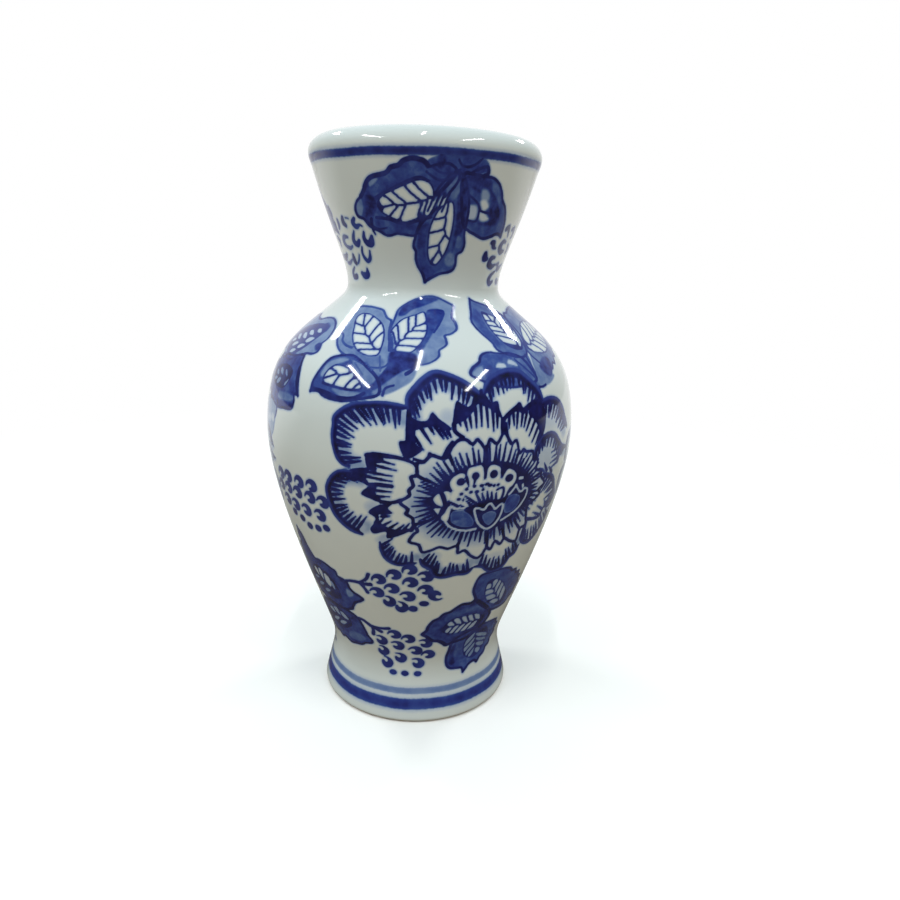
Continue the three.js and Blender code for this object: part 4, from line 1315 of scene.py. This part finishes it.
    # Gathered colour where the leaves meet
    motif.tint([(-9, 138.8), (-3, 139.6), (0.4, 137), (0, 133.4), (-3.6, 131), (-6.8, 134.6)], 0.52)
    motif.tint([
        (2.4, 143), (9, 142.6), (11.4, 139.6), (10.4, 136.6), (7.4, 136.2), (4, 133), (0.4, 129.6),
        (-1.6, 130.6), (0, 134), (2, 138)], 0.84)
    motif.tint([
        (3.2, 133), (7.4, 136.4), (11, 137), (10.4, 133.4), (7, 130.8), (3.6, 129), (0.4, 128.2),
        (-1.2, 129.4), (1, 131)], 0.5)
    motif.line([(2.2, 128.6), (2.8, 130.8), (5.2, 131.8)], [0.9, 0.7], 0.82)
    motif.line([(8.4, 135.6), (9.6, 136.6), (10.8, 138.4)], [1.4, 0.8], 0.85)
    for start, end in (((-8.4, 138), (-5, 134.4)), ((-4.6, 138.6), (-1.4, 135)), ((-0.8, 141), (0.4, 136))):
        motif.line([start, end], 0.55, 0.7)


def corner_leaves(motif):
    """Three leaves to the right of the flower."""
    surround(motif, [
        (-9.6, 143.2), (-9.9, 146.4), (-11, 149.6), (-11.6, 153), (-11.2, 156), (-9.4, 158.8),
        (-7.4, 162.2), (-5.6, 165.3), (-5.6, 165.3), (-3.6, 164), (-0.6, 162.4), (2.4, 159.8), (4.4, 157),
        (5, 153), (5, 148), (3, 143.4), (1, 140.6), (-4, 140.4)], 0.6, 0.9, 0.82)
    motif.tint([
        (-10.6, 156), (-8, 160), (-6.4, 162.4), (-6, 158), (-7.4, 153), (-7, 148), (-8.6, 143.6),
        (-10.4, 149)], 0.68)
    blade(motif, [
        (1.6, 143.4), (-0.6, 142.8), (-3, 143.4), (-5, 145), (-6.4, 148), (-6.8, 152), (-6, 156.6),
        (-4.6, 160), (-2, 158.6), (1, 156), (3.4, 152.6), (3.8, 148)],
        [(1, 143.4), (-0.4, 148), (-2, 152.4), (-4.2, 159)], 5, 0.8, 0.82)
    surround(motif, [
        (5, 157), (8, 158.6), (11, 160), (15, 160.6), (19, 160.2), (22, 159.4), (24.6, 158.8), (25.6, 156),
        (28, 154.6), (27.8, 152), (29.6, 149.8), (28.4, 147.6), (29.2, 145), (27.2, 143.4), (26.4, 140.8),
        (24, 140.2), (22.4, 137.8), (20, 137.8), (18, 135.6), (15.6, 136), (13.6, 134.2), (9, 135),
        (5.4, 138), (3, 143)], 0.56, 0.9, 0.8)
    blade(motif, [
        (3.4, 144), (5.4, 147.6), (8, 151), (12, 153.6), (17, 154), (21.6, 152.4), (24.6, 149), (24, 145),
        (20, 141.6), (15, 140), (9, 140.4), (5.4, 141.6)],
        [(4, 143.4), (10, 145.6), (16, 147.4), (24, 148.6)], 5, 0.85, 0.8)
    surround(motif, [
        (-23.6, 135.4), (-22, 137.6), (-19, 139.4), (-17.4, 141.4), (-15.4, 142.6), (-12.8, 142.8),
        (-10.4, 142.2), (-6, 142), (-2, 140), (0, 136), (1, 132), (-4, 131), (-10, 130.6), (-17, 131.6),
        (-21, 133.6)], 0.68, 0.9, 0.85)
    motif.tint([(-23.2, 135.2), (-21.2, 137.2), (-18.6, 138), (-19.6, 135.2), (-21.4, 134)], 0.42)
    motif.spare([(-14, 137.4), (-12.6, 138.8), (-10.4, 138.4), (-10.6, 137.2)], 0.15)
    motif.spare([(-9, 138.6), (-7.6, 139.8), (-5.8, 138.6), (-5.4, 137.2), (-7.4, 137.8)], 0.2)
    # Stalks
    motif.tint([(-6, 142), (1.6, 141.6), (1, 134), (2, 130), (-2, 130), (-4, 135)], 0.6)
    motif.tint([
        (1.4, 133.6), (3, 141), (6, 142), (5.6, 137), (9, 133.4), (13, 132), (8, 129.8), (2, 129.8)], 0.5)
    motif.tint([(5, 135.4), (9, 138.6), (13.4, 138.2), (13.6, 134.6), (10, 132)], 0.78)
    for start, end in (
            ((-5.4, 139.6), (0.4, 132.6)), ((-2.4, 140.6), (0.8, 133.4)), ((0.4, 141), (1.4, 134))):
        motif.line([start, end], 0.7, 0.8)
    motif.line([(1, 129.6), (3, 129.4), (5.2, 129.8)], [0.9, 0.8], 0.88)


def far_leaves(motif):
    """Two leaves at the left of the shoulder, one above the other, and a small pale one under them."""
    surround(motif, [
        (6.4, 138.4), (8, 138.8), (10.6, 139), (12.2, 140.2), (11.4, 142.4), (10.8, 143), (11.6, 145),
        (11.2, 147.4), (9.8, 150.2), (7, 152.8), (3.6, 154), (0, 153.6), (-3.4, 152.4), (-7, 153),
        (-9.4, 154.4), (-12, 153), (-14.4, 153.6), (-15.8, 151.4), (-18.2, 150.6), (-18, 148), (-20, 146),
        (-18.8, 143.6), (-19.4, 141), (-17, 139.8), (-15.6, 137.4), (-13, 137.8), (-10.6, 135.8),
        (-8, 136.2), (-4, 135), (0, 135.4)], 0.46, 0.9, 0.82)
    motif.tint([(3.6, 151.6), (7, 150.4), (7.6, 147.8), (5, 147.6), (2.4, 149.6)], 0.8)
    motif.tint([(9.4, 143.2), (11, 143), (12, 140.6), (10.8, 140.4), (8.8, 142)], 0.86)
    celled(motif, [
        (5.6, 150.6), (7.2, 147.4), (5.6, 143), (3.4, 139.8), (-1, 136.8), (-6, 136.4), (-11, 138.4),
        (-14.4, 142.4), (-10, 147.4), (-4, 149.8), (1, 151)],
        [((5.4, 147.4), (2.6, 148.4), 1.5), ((5, 144.4), (1.2, 143), 2.0), ((2.2, 145.8), (-1.6, 147), 1.6),
        ((2.6, 141.4), (-1.2, 140), 1.6), ((-0.6, 143.8), (-4.6, 145.4), 1.7),
        ((-1.2, 138.8), (-5, 137.6), 1.5), ((-3, 141.4), (-7.2, 140), 1.6),
        ((-5, 142.8), (-8.8, 144.4), 1.5), ((-8, 142), (-11.4, 141.4), 1.4)], 0.79, 0.2, 0.05)
    surround(motif, [
        (6.6, 138), (8, 135.2), (9.6, 131.8), (11, 128.6), (12.6, 125), (12.6, 125), (10.6, 125),
        (11.2, 122.6), (10.2, 120.2), (5, 119.7), (0.4, 119.4), (-6, 121), (-8.4, 120.8), (-10, 122.8),
        (-12.8, 123.4), (-13, 126), (-15.4, 127.4), (-14.4, 130), (-15.2, 132.2), (-12.6, 133),
        (-11, 135.2), (-8, 134.8), (-5, 136.6), (2, 137)], 0.74, 1.1, 0.88)
    motif.line([(8.2, 133.6), (10.4, 128.4), (12.2, 125.2)], [1.2, 1.8, 0.8], 0.92)
    motif.tint([(0, 124.2), (5, 124.6), (10, 124.4), (10, 122.8), (5, 122), (0, 122)], 0.52)
    motif.tint([(0, 121.6), (6, 121.8), (10.4, 122), (10, 120.4), (4, 120), (0, 120)], 0.86)
    celled(motif, [
        (6, 131), (3, 133), (-2, 133.4), (-8, 131.6), (-11.4, 128.4), (-8, 126), (-2, 125.2), (3.4, 126)],
        [((-0.8, 129.8), (-4.2, 131.4), 1.5), ((-1.2, 128.2), (-4.6, 126.6), 1.6),
        ((-4.8, 129.2), (-8, 130.2), 1.3), ((-5.2, 128), (-8.4, 127.2), 1.2),
        ((4.8, 128.8), (2.6, 126.6), 0.9), ((2.8, 129.8), (0.4, 131.6), 1.0)], 0.9, 0.4, 0.05)
    surround(motif, [
        (-0.4, 119.6), (-3.4, 120.6), (-9.4, 121), (-13, 120), (-15.4, 117.6), (-14.8, 114), (-16.4, 111),
        (-14.2, 109), (-12.2, 106.4), (-8.8, 106.8), (-6, 107.8), (-3.4, 109.6), (-1.8, 112.4),
        (-0.8, 116)], 0.42, 0.7, 0.52)
    motif.pool(-3.4, 114.8, 2.4, 1.8, 0.12)
    motif.pool(-8, 114, 3, 1.8, 0.2)
    motif.line([(0, 119.4), (-0.2, 117), (-1.4, 114.8)], [1.4, 1.0, 0.7], 0.85)


def low_right_leaves(motif):
    """Three leaves at the lower right, whose lowest reaches the crease above the foot."""
    surround(motif, [
        (0.6, 51), (-0.8, 53), (-2.2, 55.6), (-3.3, 58.4), (-3.1, 62), (-2, 64.6), (1, 65.1), (5, 65.1),
        (8, 64.8), (11.4, 63.8), (13.6, 61.8), (15.8, 61.4), (16.8, 59.4), (19.2, 59), (19.8, 56.8),
        (22, 55.6), (21.8, 53.2), (23.6, 51.2), (22, 49.2), (21.8, 46.8), (19, 46.2), (16.4, 44.2),
        (8, 45)], 0.74, 1.2, 0.9)
    blade(motif, [
        (13, 45.4), (8, 47.4), (4.6, 50), (2.4, 53.4), (1.5, 57), (1.9, 60.4), (4, 61.4), (7.4, 60.4),
        (10.6, 57.4), (13.4, 53.4), (15.4, 49)],
        [(13.4, 46), (9.4, 50.6), (5.6, 56), (2.8, 60.6)], 4, 0.7, 0.88, 1.1, 0.3, 0.1, 0.15)
    surround(motif, [
        (0, 52.4), (-3, 52), (-6, 52.2), (-8, 51), (-9.8, 49.4), (-12, 48.6), (-13.2, 46.8), (-15, 45.6),
        (-16.2, 43), (-16.4, 40.8), (-17.5, 39), (-16, 37.8), (-14.6, 36.4), (-13.4, 35.4), (-11, 34.8),
        (-9, 33.4), (-7.6, 32.2), (-5, 33), (0, 34), (6, 38), (8, 44)], 0.8, 1.4, 0.93)
    motif.tint([
        (-11, 47), (-6, 49.6), (0, 50), (5, 48), (5.6, 46.6), (0, 47.4), (-6, 47), (-10, 44.6)], 0.7)
    blade(motif, [
        (6, 42), (2, 45.8), (-3, 46.4), (-7.6, 45.8), (-10.4, 43), (-10.8, 40), (-8, 37.6), (-3, 37.4),
        (2.6, 38.6)], [(5, 41.8), (0, 42), (-5, 42), (-10, 41.2)], 5, 0.9, 0.9, 1.0, 0.26, 0.08, 0.1)
    surround(motif, [
        (-5.4, 33.4), (-5.8, 29), (-6.2, 25.4), (-5.7, 22), (-4.2, 20.2), (-1, 19.5), (0.6, 19),
        (1.2, 17.3), (1.2, 17.3), (2.4, 18.2), (4, 19.6), (6.6, 20), (8, 19), (9.6, 20.4), (12, 21.4),
        (12.8, 23.2), (15, 24), (15.2, 26.4), (17.2, 28), (16.4, 30.4), (17.4, 32.8), (15.4, 34.6),
        (14.4, 36.8), (6, 38), (-2, 36)], 0.72, 1.2, 0.9)
    motif.tint([(-3.6, 32), (-3.4, 26), (-2.4, 22), (-4.6, 21.6), (-5.2, 26), (-4.8, 31)], 0.86)
    blade(motif, [
        (1.6, 36.4), (0, 32), (0, 27.4), (1.8, 23.4), (5.4, 21.6), (9, 22.6), (11.4, 26), (11.8, 31),
        (9.6, 35.4), (5.6, 37.4)],
        [(3.6, 36), (5, 31), (6, 27), (6.4, 22.6)], 4, 0.85, 0.88, 1.0, 0.4, 0.06, 0.1)


def low_left_leaves(motif):
    """Two leaves at the lower left, from which both lower bunches of berries spring."""
    surround(motif, [
        (-17.4, 46.4), (-16.2, 48.4), (-15, 50.6), (-13, 52), (-11.6, 53.4), (-13, 54.6), (-15, 55.6),
        (-16.6, 57.2), (-17.4, 59.6), (-19, 60.6), (-21.4, 61.2), (-22, 63.2), (-24, 63.9), (-27, 65),
        (-30, 65.2), (-32.6, 65), (-34.6, 67), (-36.6, 69.6), (-38.6, 73), (-41.6, 75.4), (-41.6, 75.4),
        (-42.2, 72), (-41.4, 69.4), (-43.2, 67), (-42.4, 64.4), (-43.2, 62), (-41.4, 59.6), (-41.6, 57),
        (-42.2, 54.6), (-40.2, 52.6), (-39.8, 50), (-37, 49.4), (-35.6, 47), (-33, 47), (-31, 45.4),
        (-24, 44.6)], 0.8, 1.2, 0.92)
    motif.tint([(-17.8, 56.4), (-15.4, 55), (-15.6, 53.6), (-17.6, 52.6), (-18.4, 54.4)], 0.5)
    celled(motif, [
        (-21.4, 50), (-21.8, 54.4), (-24.2, 58.4), (-28, 61), (-33, 61.8), (-37, 58.4), (-36.6, 53),
        (-32.4, 49.4), (-26.6, 48.4)],
        [((-26.2, 54.2), (-28.6, 59), 2.9), ((-29.6, 56), (-31.4, 60.6), 1.9),
        ((-32.6, 57), (-34.6, 60), 1.5)], 0.9, 0.14, 0.2)
    for start, end, width in (
            ((-24, 53.4), (-25.4, 57), 1.4), ((-27, 51.6), (-30.4, 50.2), 1.7),
            ((-30.4, 53.6), (-34, 51.8), 1.7), ((-33, 55.4), (-36.2, 54.6), 1.5)):
        motif.cell(start, end, width, 0.4)
    surround(motif, [
        (-19, 44.6), (-16.2, 43.6), (-14.6, 42), (-13.6, 40), (-12.4, 37), (-11.6, 34.6), (-10, 32.4),
        (-10.6, 31), (-13, 30.2), (-15, 28.6), (-18, 27.8), (-20.6, 27.2), (-24, 28.4), (-26, 27.6),
        (-28, 29), (-30.6, 28.8), (-32, 30.8), (-34.4, 31.6), (-34.8, 34), (-37, 35.6), (-36.2, 38),
        (-37.4, 40.4), (-35.2, 42), (-34, 44.4), (-31, 44.2), (-29, 46), (-26, 45.6)], 0.78, 1.2, 0.92)
    motif.tint([(-20, 33.4), (-15, 34), (-12.6, 32.6), (-14.4, 30.6), (-18.6, 29.4), (-21, 30.6)], 0.62)
    celled(motif, [
        (-18.4, 37), (-19.4, 41), (-23, 43.4), (-27.6, 43.4), (-31.8, 40.6), (-33, 36.4), (-29, 33.4),
        (-23.6, 33)],
        [((-20, 39.6), (-24, 41.8), 1.9), ((-23.8, 40), (-27.4, 43), 1.9),
        ((-27.6, 39.6), (-30.8, 41.8), 1.8), ((-21.4, 37.4), (-25, 35.4), 1.5),
        ((-25.6, 37.6), (-29, 35.4), 1.5)], 0.9, 0.32, 0.2)


def paint(ground):
    """The whole painting: leaves first, then berries, then the flowers over them. The front's cluster is
    repeated half a turn further round, with a small flower over two bunches of berries on either side. The
    neck has its leaves three times, with a bunch of berries in each gap."""
    for turn in (0.0, 180.0):
        far_leaves(Motif(ground, turn - 60.0, low=100.0))
        corner_leaves(Motif(ground, turn + 45.0, low=100.0))
        shoulder_leaves(Motif(ground, turn - 15.0, low=100.0))
        low_right_leaves(Motif(ground, turn + 30.0))
        low_left_leaves(Motif(ground, turn - 10.0))
        side_berries(Motif(ground, turn - 15.0))
        hanging_berries(Motif(ground, turn - 10.0))
        foot_berries(Motif(ground, turn - 10.0))
        hanging_berries(Motif(ground, turn + 93.0, height=-3.0))
        foot_berries(Motif(ground, turn + 93.0))
        peony(Motif(ground, turn + 92.0, height=42.0, size=0.55))
        peony(Motif(ground, turn + 20.0))
    for degrees, strokes in ((-50.0, LEFT_BERRIES), (55.0, RIGHT_BERRIES), (190.0, LEFT_BERRIES)):
        neck_berries(Motif(ground, degrees, low=165.0, high=215.0), strokes)
    for turn in (5.0, 125.0, 245.0):
        neck_leaves(Motif(ground, turn, low=165.0, high=215.0))
    band(ground, *RIM_BAND, 0.81, 0.6)
    band(ground, *FOOT_THICK_BAND, 0.78, 0.5)
    band(ground, *FOOT_THIN_BAND, 0.47, 0.6)


def band(ground, low, high, depth, crispness):
    """A painted band round the vase between two heights along the surface. It is darkest along its middle,
    wanders up and down a little, and has softer edges for a smaller crispness."""
    wander = 0.12 * np.sin(3 * ground.angle + 0.6) + 0.06 * np.sin(11 * ground.angle)
    off = np.abs(ground.along - (low + high) / 2 - wander)
    half = (high - low) / 2
    gap = (off - half) * crispness
    won = gap < ground.edge
    ground.edge[won] = gap[won]
    shade = depth * (1.04 - 0.16 * np.minimum(off / half, 1.0) ** 2)
    ground.depth[won] = shade[won]


def linear(code):
    """An sRGB hex colour as linear light, with alpha 1."""
    value = np.array([int(code[k:k + 2], 16) for k in (1, 3, 5)]) / 255.0
    light = np.where(value <= 0.04045, value / 12.92, ((value + 0.055) / 1.055) ** 2.4)
    return (*light, 1.0)


def add(tree, kind, inputs=(), **settings):
    """A node with its settings. inputs maps an input's name or number to a value or to an output socket."""
    node = tree.nodes.new(kind)
    for name, value in settings.items():
        setattr(node, name, value)
    for name, value in dict(inputs).items():
        if isinstance(value, bpy.types.NodeSocket):
            tree.links.new(value, node.inputs[name])
        else:
            node.inputs[name].default_value = value
    return node


def noise(tree, place, size, detail=2.0):
    """Soft noise whose patches are about as many millimetres across as the size."""
    inputs = {"Vector": place, "Scale": 1 / (size * MM), "Detail": detail}
    return add(tree, "ShaderNodeTexNoise", inputs).outputs[0]


def remap(tree, value, low, high, to_low=0.0, to_high=1.0, **settings):
    """A value brought from one range to another, and held within it."""
    inputs = {"Value": value, "From Min": low, "From Max": high, "To Min": to_low, "To Max": to_high}
    return add(tree, "ShaderNodeMapRange", inputs, **settings).outputs[0]


def combine(tree, operation, *values):
    """The result of one step of arithmetic."""
    return add(tree, "ShaderNodeMath", dict(enumerate(values)), operation=operation).outputs[0]


def bump(tree, height, strength, distance):
    """Normals tipped by a height, as over a relief that many millimetres deep."""
    inputs = {"Height": height, "Strength": strength, "Distance": distance * MM}
    return add(tree, "ShaderNodeBump", inputs).outputs[0]


def coloured(tree, value, stops):
    """The colour that a ramp gives for a value. Each of its stops is a position and a colour."""
    node = add(tree, "ShaderNodeValToRGB", {"Fac": value})
    elements = node.color_ramp.elements
    while len(elements) < len(stops):
        elements.new(1.0)
    for element, (position, code) in zip(elements, stops):
        element.position = position
        element.color = linear(code)
    return node.outputs[0]


def new_tree(material):
    """The empty node tree of a new material or world."""
    material.use_nodes = True
    material.node_tree.nodes.clear()
    return material.node_tree


# Cobalt blue under the glaze, from bare white through thin washes to the thickest brush lines
COBALT = [(0.0, "#CBD4D4"), (0.2, "#A5B5CB"), (0.4, "#778EB3"), (0.55, "#526BA0"), (0.68, "#324A90"),
          (0.8, "#24327E"), (0.9, "#131859"), (1.0, "#04042A")]


def painted_porcelain():
    """White porcelain painted with cobalt blue under a clear, glossy glaze. The glaze melts smooth and lies
    a little uneven over the clay, so highlights are sharp but bend. The blue is mottled where the brush
    left more or less of it, and bleeds a little into the glaze beside each line. The resting rim is wiped
    free of glaze, so it is matt, warm bare clay."""
    material = bpy.data.materials.new("underglaze_blue_porcelain")
    tree = new_tree(material)
    place = add(tree, "ShaderNodeTexCoord").outputs["Object"]
    kept = add(tree, "ShaderNodeAttribute", attribute_name="cobalt").outputs["Color"]
    drawn = add(tree, "ShaderNodeSeparateColor", {"Color": kept}).outputs
    # The brush's edge wanders by about a tenth of a millimetre, and thin colour bleeds out of each line
    ragged = remap(tree, noise(tree, place, 1.1, 1.0), 0.0, 1.0, -0.035, 0.035)
    nearness = combine(tree, "ADD", drawn["Red"], ragged)
    cover = remap(tree, nearness, 0.44, 0.56, interpolation_type="SMOOTHSTEP")
    beside = remap(tree, nearness, 0.22, 0.5, 0.0, 0.26, interpolation_type="SMOOTHSTEP")
    bleed = combine(tree, "MULTIPLY", beside, drawn["Green"])
    # Pools and thin places in the colour, some millimetres across
    mottle = remap(tree, noise(tree, place, 4.0), 0.3, 0.7, 0.93, 1.05)
    depth = combine(tree, "MULTIPLY", drawn["Green"], mottle)
    streaks = remap(tree, noise(tree, place, 3.2, 3.0), 0.3, 0.7, 0.84, 1.12)
    laid = combine(tree, "MULTIPLY", drawn["Blue"], streaks)
    wash = combine(tree, "MAXIMUM", laid, bleed)
    # A line over a wash is as dark as the darker of the two
    darker = combine(tree, "MAXIMUM", depth, wash)
    extra = combine(tree, "SUBTRACT", darker, wash)
    ink = combine(tree, "MULTIPLY_ADD", cover, extra, wash)
    colour = coloured(tree, ink, COBALT)
    # Slow waves in the glaze, which bend the highlights
    uneven = bump(tree, noise(tree, place, 14.0, 1.0), 0.25, 0.5)
    glazed = add(tree, "ShaderNodeBsdfPrincipled", {
        "Base Color": colour, "Normal": uneven, "Roughness": 0.07, "IOR": 1.5}).outputs[0]
    # The unglazed rim, with a wandering edge where the glaze stops
    height = add(tree, "ShaderNodeSeparateXYZ", {"Vector": place}).outputs["Z"]
    lower = combine(tree, "MULTIPLY_ADD", noise(tree, place, 6.0), -0.5 * MM, height)
    bare = remap(tree, lower, 0.5 * MM, 0.2 * MM)
    grit = noise(tree, place, 0.6)
    clay = coloured(tree, grit, [(0.3, "#B89B78"), (0.7, "#D6C7AC")])
    rough = bump(tree, grit, 0.3, 0.1)
    wiped = add(tree, "ShaderNodeBsdfPrincipled", {
        "Base Color": clay, "Normal": rough, "Roughness": 0.8, "IOR": 1.5}).outputs[0]
    whole = add(tree, "ShaderNodeMixShader", {0: bare, 1: glazed, 2: wiped}).outputs[0]
    add(tree, "ShaderNodeOutputMaterial", {"Surface": whole})
    return material


def clear_porcelain():
    """White porcelain under clear glaze, for the floor inside: faintly blue, with slow waves."""
    material = bpy.data.materials.new("clear_glazed_porcelain")
    tree = new_tree(material)
    place = add(tree, "ShaderNodeTexCoord").outputs["Object"]
    tone = coloured(tree, noise(tree, place, 9.0, 3.0), [(0.3, "#C3CDCF"), (0.7, "#CED6D7")])
    uneven = bump(tree, noise(tree, place, 12.0), 0.3, 0.5)
    glazed = add(tree, "ShaderNodeBsdfPrincipled", {
        "Base Color": tone, "Normal": uneven, "Roughness": 0.1, "IOR": 1.5}).outputs[0]
    add(tree, "ShaderNodeOutputMaterial", {"Surface": glazed})
    return material


def backdrop_share(tree, behind):
    """Whether a ray belongs to a reflection or comes through glass, and how much of the white backdrop it
    sees. A ray from the camera sees all of it. Such a reflected ray sees what lies behind the vase, since
    the room in front of it is dimmer. behind is 0 in front and 1 behind."""
    path = add(tree, "ShaderNodeLightPath").outputs
    mirrored = combine(tree, "MAXIMUM", path["Is Glossy Ray"], path["Is Transmission Ray"])
    reflected = combine(tree, "MULTIPLY", mirrored, behind)
    share = combine(tree, "MAXIMUM", path["Is Camera Ray"], reflected)
    return mirrored, share


def floor_material():
    """A plain pale table top that takes the vase's shadow and fades to the white backdrop away from it."""
    material = bpy.data.materials.new("pale_table")
    tree = new_tree(material)
    place = add(tree, "ShaderNodeTexCoord").outputs["Object"]
    depth = add(tree, "ShaderNodeSeparateXYZ", {"Vector": place}).outputs["Y"]
    mirrored, seen = backdrop_share(tree, remap(tree, depth, 0.05, 0.5))
    away = add(tree, "ShaderNodeVectorMath", {0: place}, operation="LENGTH").outputs["Value"]
    far = combine(tree, "MULTIPLY", seen, remap(tree, away, 0.12, 0.5))
    pale = add(tree, "ShaderNodeBsdfDiffuse", {"Color": linear("#F4F4F2")}).outputs[0]
    # Light that bounces off the table, and reflections of its front, see it darker and warmer than the
    # camera does: painted shade that stands for the dim room in front, darkest in reflections
    shade = coloured(tree, mirrored, [(0.0, "#A3907A"), (1.0, "#6B645B")])
    shaded_table = add(tree, "ShaderNodeBsdfDiffuse", {"Color": shade}).outputs[0]
    white = add(tree, "ShaderNodeEmission", {"Color": linear("#FFFFFF"), "Strength": 1.0}).outputs[0]
    table = add(tree, "ShaderNodeMixShader", {0: seen, 1: shaded_table, 2: pale}).outputs[0]
    whole = add(tree, "ShaderNodeMixShader", {0: far, 1: table, 2: white}).outputs[0]
    add(tree, "ShaderNodeOutputMaterial", {"Surface": whole})
    return material


def make_floor():
    """A round table top at the height that the vase stands on."""
    turn = np.linspace(0.0, 2.0 * math.pi, TABLE_CORNERS, endpoint=False)
    rim = TABLE_RADIUS * np.stack([np.cos(turn), np.sin(turn), np.zeros_like(turn)], -1)
    mesh = bpy.data.meshes.new("table_top")
    mesh.from_pydata(rim.tolist(), [], [list(range(len(turn)))])
    mesh.materials.append(floor_material())
    floor = bpy.data.objects.new("table_top", mesh)
    bpy.context.scene.collection.objects.link(floor)


def make_lamp(name, start, end, width, watts):
    """A soft strip lamp between two places, which faces the vase."""
    strip = Vector(end) - Vector(start)
    middle = (Vector(start) + Vector(end)) / 2
    lamp = bpy.data.lights.new(name, "AREA")
    lamp.shape = "RECTANGLE"
    lamp.size = width
    lamp.size_y = strip.length
    lamp.energy = watts
    away = (middle - Vector(LAMP_AIM)).normalized()
    long_way = (strip - strip.dot(away) * away).normalized()
    across = long_way.cross(away)
    holder = bpy.data.objects.new(name, lamp)
    holder.matrix_world = Matrix((across, long_way, away)).transposed().to_4x4()
    holder.matrix_world.translation = middle
    bpy.context.scene.collection.objects.link(holder)


def make_light():
    """Strip lamps overhead on either side and in the middle, two short ones behind, and a pale room that is
    darker towards the floor and a little towards the right."""
    make_lamp("left_lamp", (-0.69, -0.19, 0.86), (-0.58, -0.65, 0.69), 0.028, 2.6)
    make_lamp("right_lamp", (0.64, -0.25, 0.89), (0.51, -0.71, 0.69), 0.028, 2.6)
    make_lamp("middle_lamp", (-0.01, -0.17, 1.13), (-0.05, -0.53, 1.0), 0.024, 1.45)
    make_lamp("back_left_lamp", (-0.62, 0.4, 0.81), (-0.5, 0.56, 0.81), 0.06, 2.1)
    make_lamp("back_right_lamp", (0.6, 0.48, 0.74), (0.48, 0.64, 0.74), 0.06, 2.1)
    world = bpy.data.worlds.new("room")
    bpy.context.scene.world = world
    tree = new_tree(world)
    direction = add(tree, "ShaderNodeTexCoord").outputs["Generated"]
    way = add(tree, "ShaderNodeSeparateXYZ", {"Vector": direction}).outputs
    height = combine(tree, "MULTIPLY_ADD", way["X"], -0.16, way["Z"])
    glow = coloured(tree, remap(tree, height, -1.0, 1.0), [(0.46, "#8C7F6A"), (0.85, "#D7E5E8")])
    mirrored, seen = backdrop_share(tree, remap(tree, way["Y"], 0.35, 1.0))
    dimmed = remap(tree, mirrored, 0.0, 1.0, 1.03, 0.42)
    room = add(tree, "ShaderNodeBackground", {"Color": glow, "Strength": dimmed}).outputs[0]
    white = add(tree, "ShaderNodeBackground", {"Color": linear("#FFFFFF"), "Strength": 1.0}).outputs[0]
    shown = add(tree, "ShaderNodeMixShader", {0: seen, 1: room, 2: white}).outputs[0]
    add(tree, "ShaderNodeOutputWorld", {"Surface": shown})
    bpy.context.scene.view_settings.view_transform = "Standard"


def make_camera():
    """The photograph's view: a wide lens 25 cm from the axis, a little below the lip, tilted down."""
    camera = bpy.data.cameras.new("view")
    camera.sensor_width = 36.0
    camera.lens = CAMERA_LENS
    holder = bpy.data.objects.new("view", camera)
    turn = Matrix.Rotation(math.radians(CAMERA_TURN), 4, "Z")
    tilt = Matrix.Rotation(math.radians(CAMERA_TILT), 4, "X")
    roll = Matrix.Rotation(math.radians(CAMERA_ROLL), 4, "Z")
    holder.matrix_world = Matrix.Translation(CAMERA_PLACE) @ turn @ tilt @ roll
    bpy.context.scene.collection.objects.link(holder)
    bpy.context.scene.camera = holder


painted = painted_porcelain()
clear = clear_porcelain()
for node, piece in make_sections().items():
    piece.data.materials.append(clear if node == "base_disc" else painted)
    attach(piece, "root")
    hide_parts(node)

make_floor()
make_light()
make_camera()
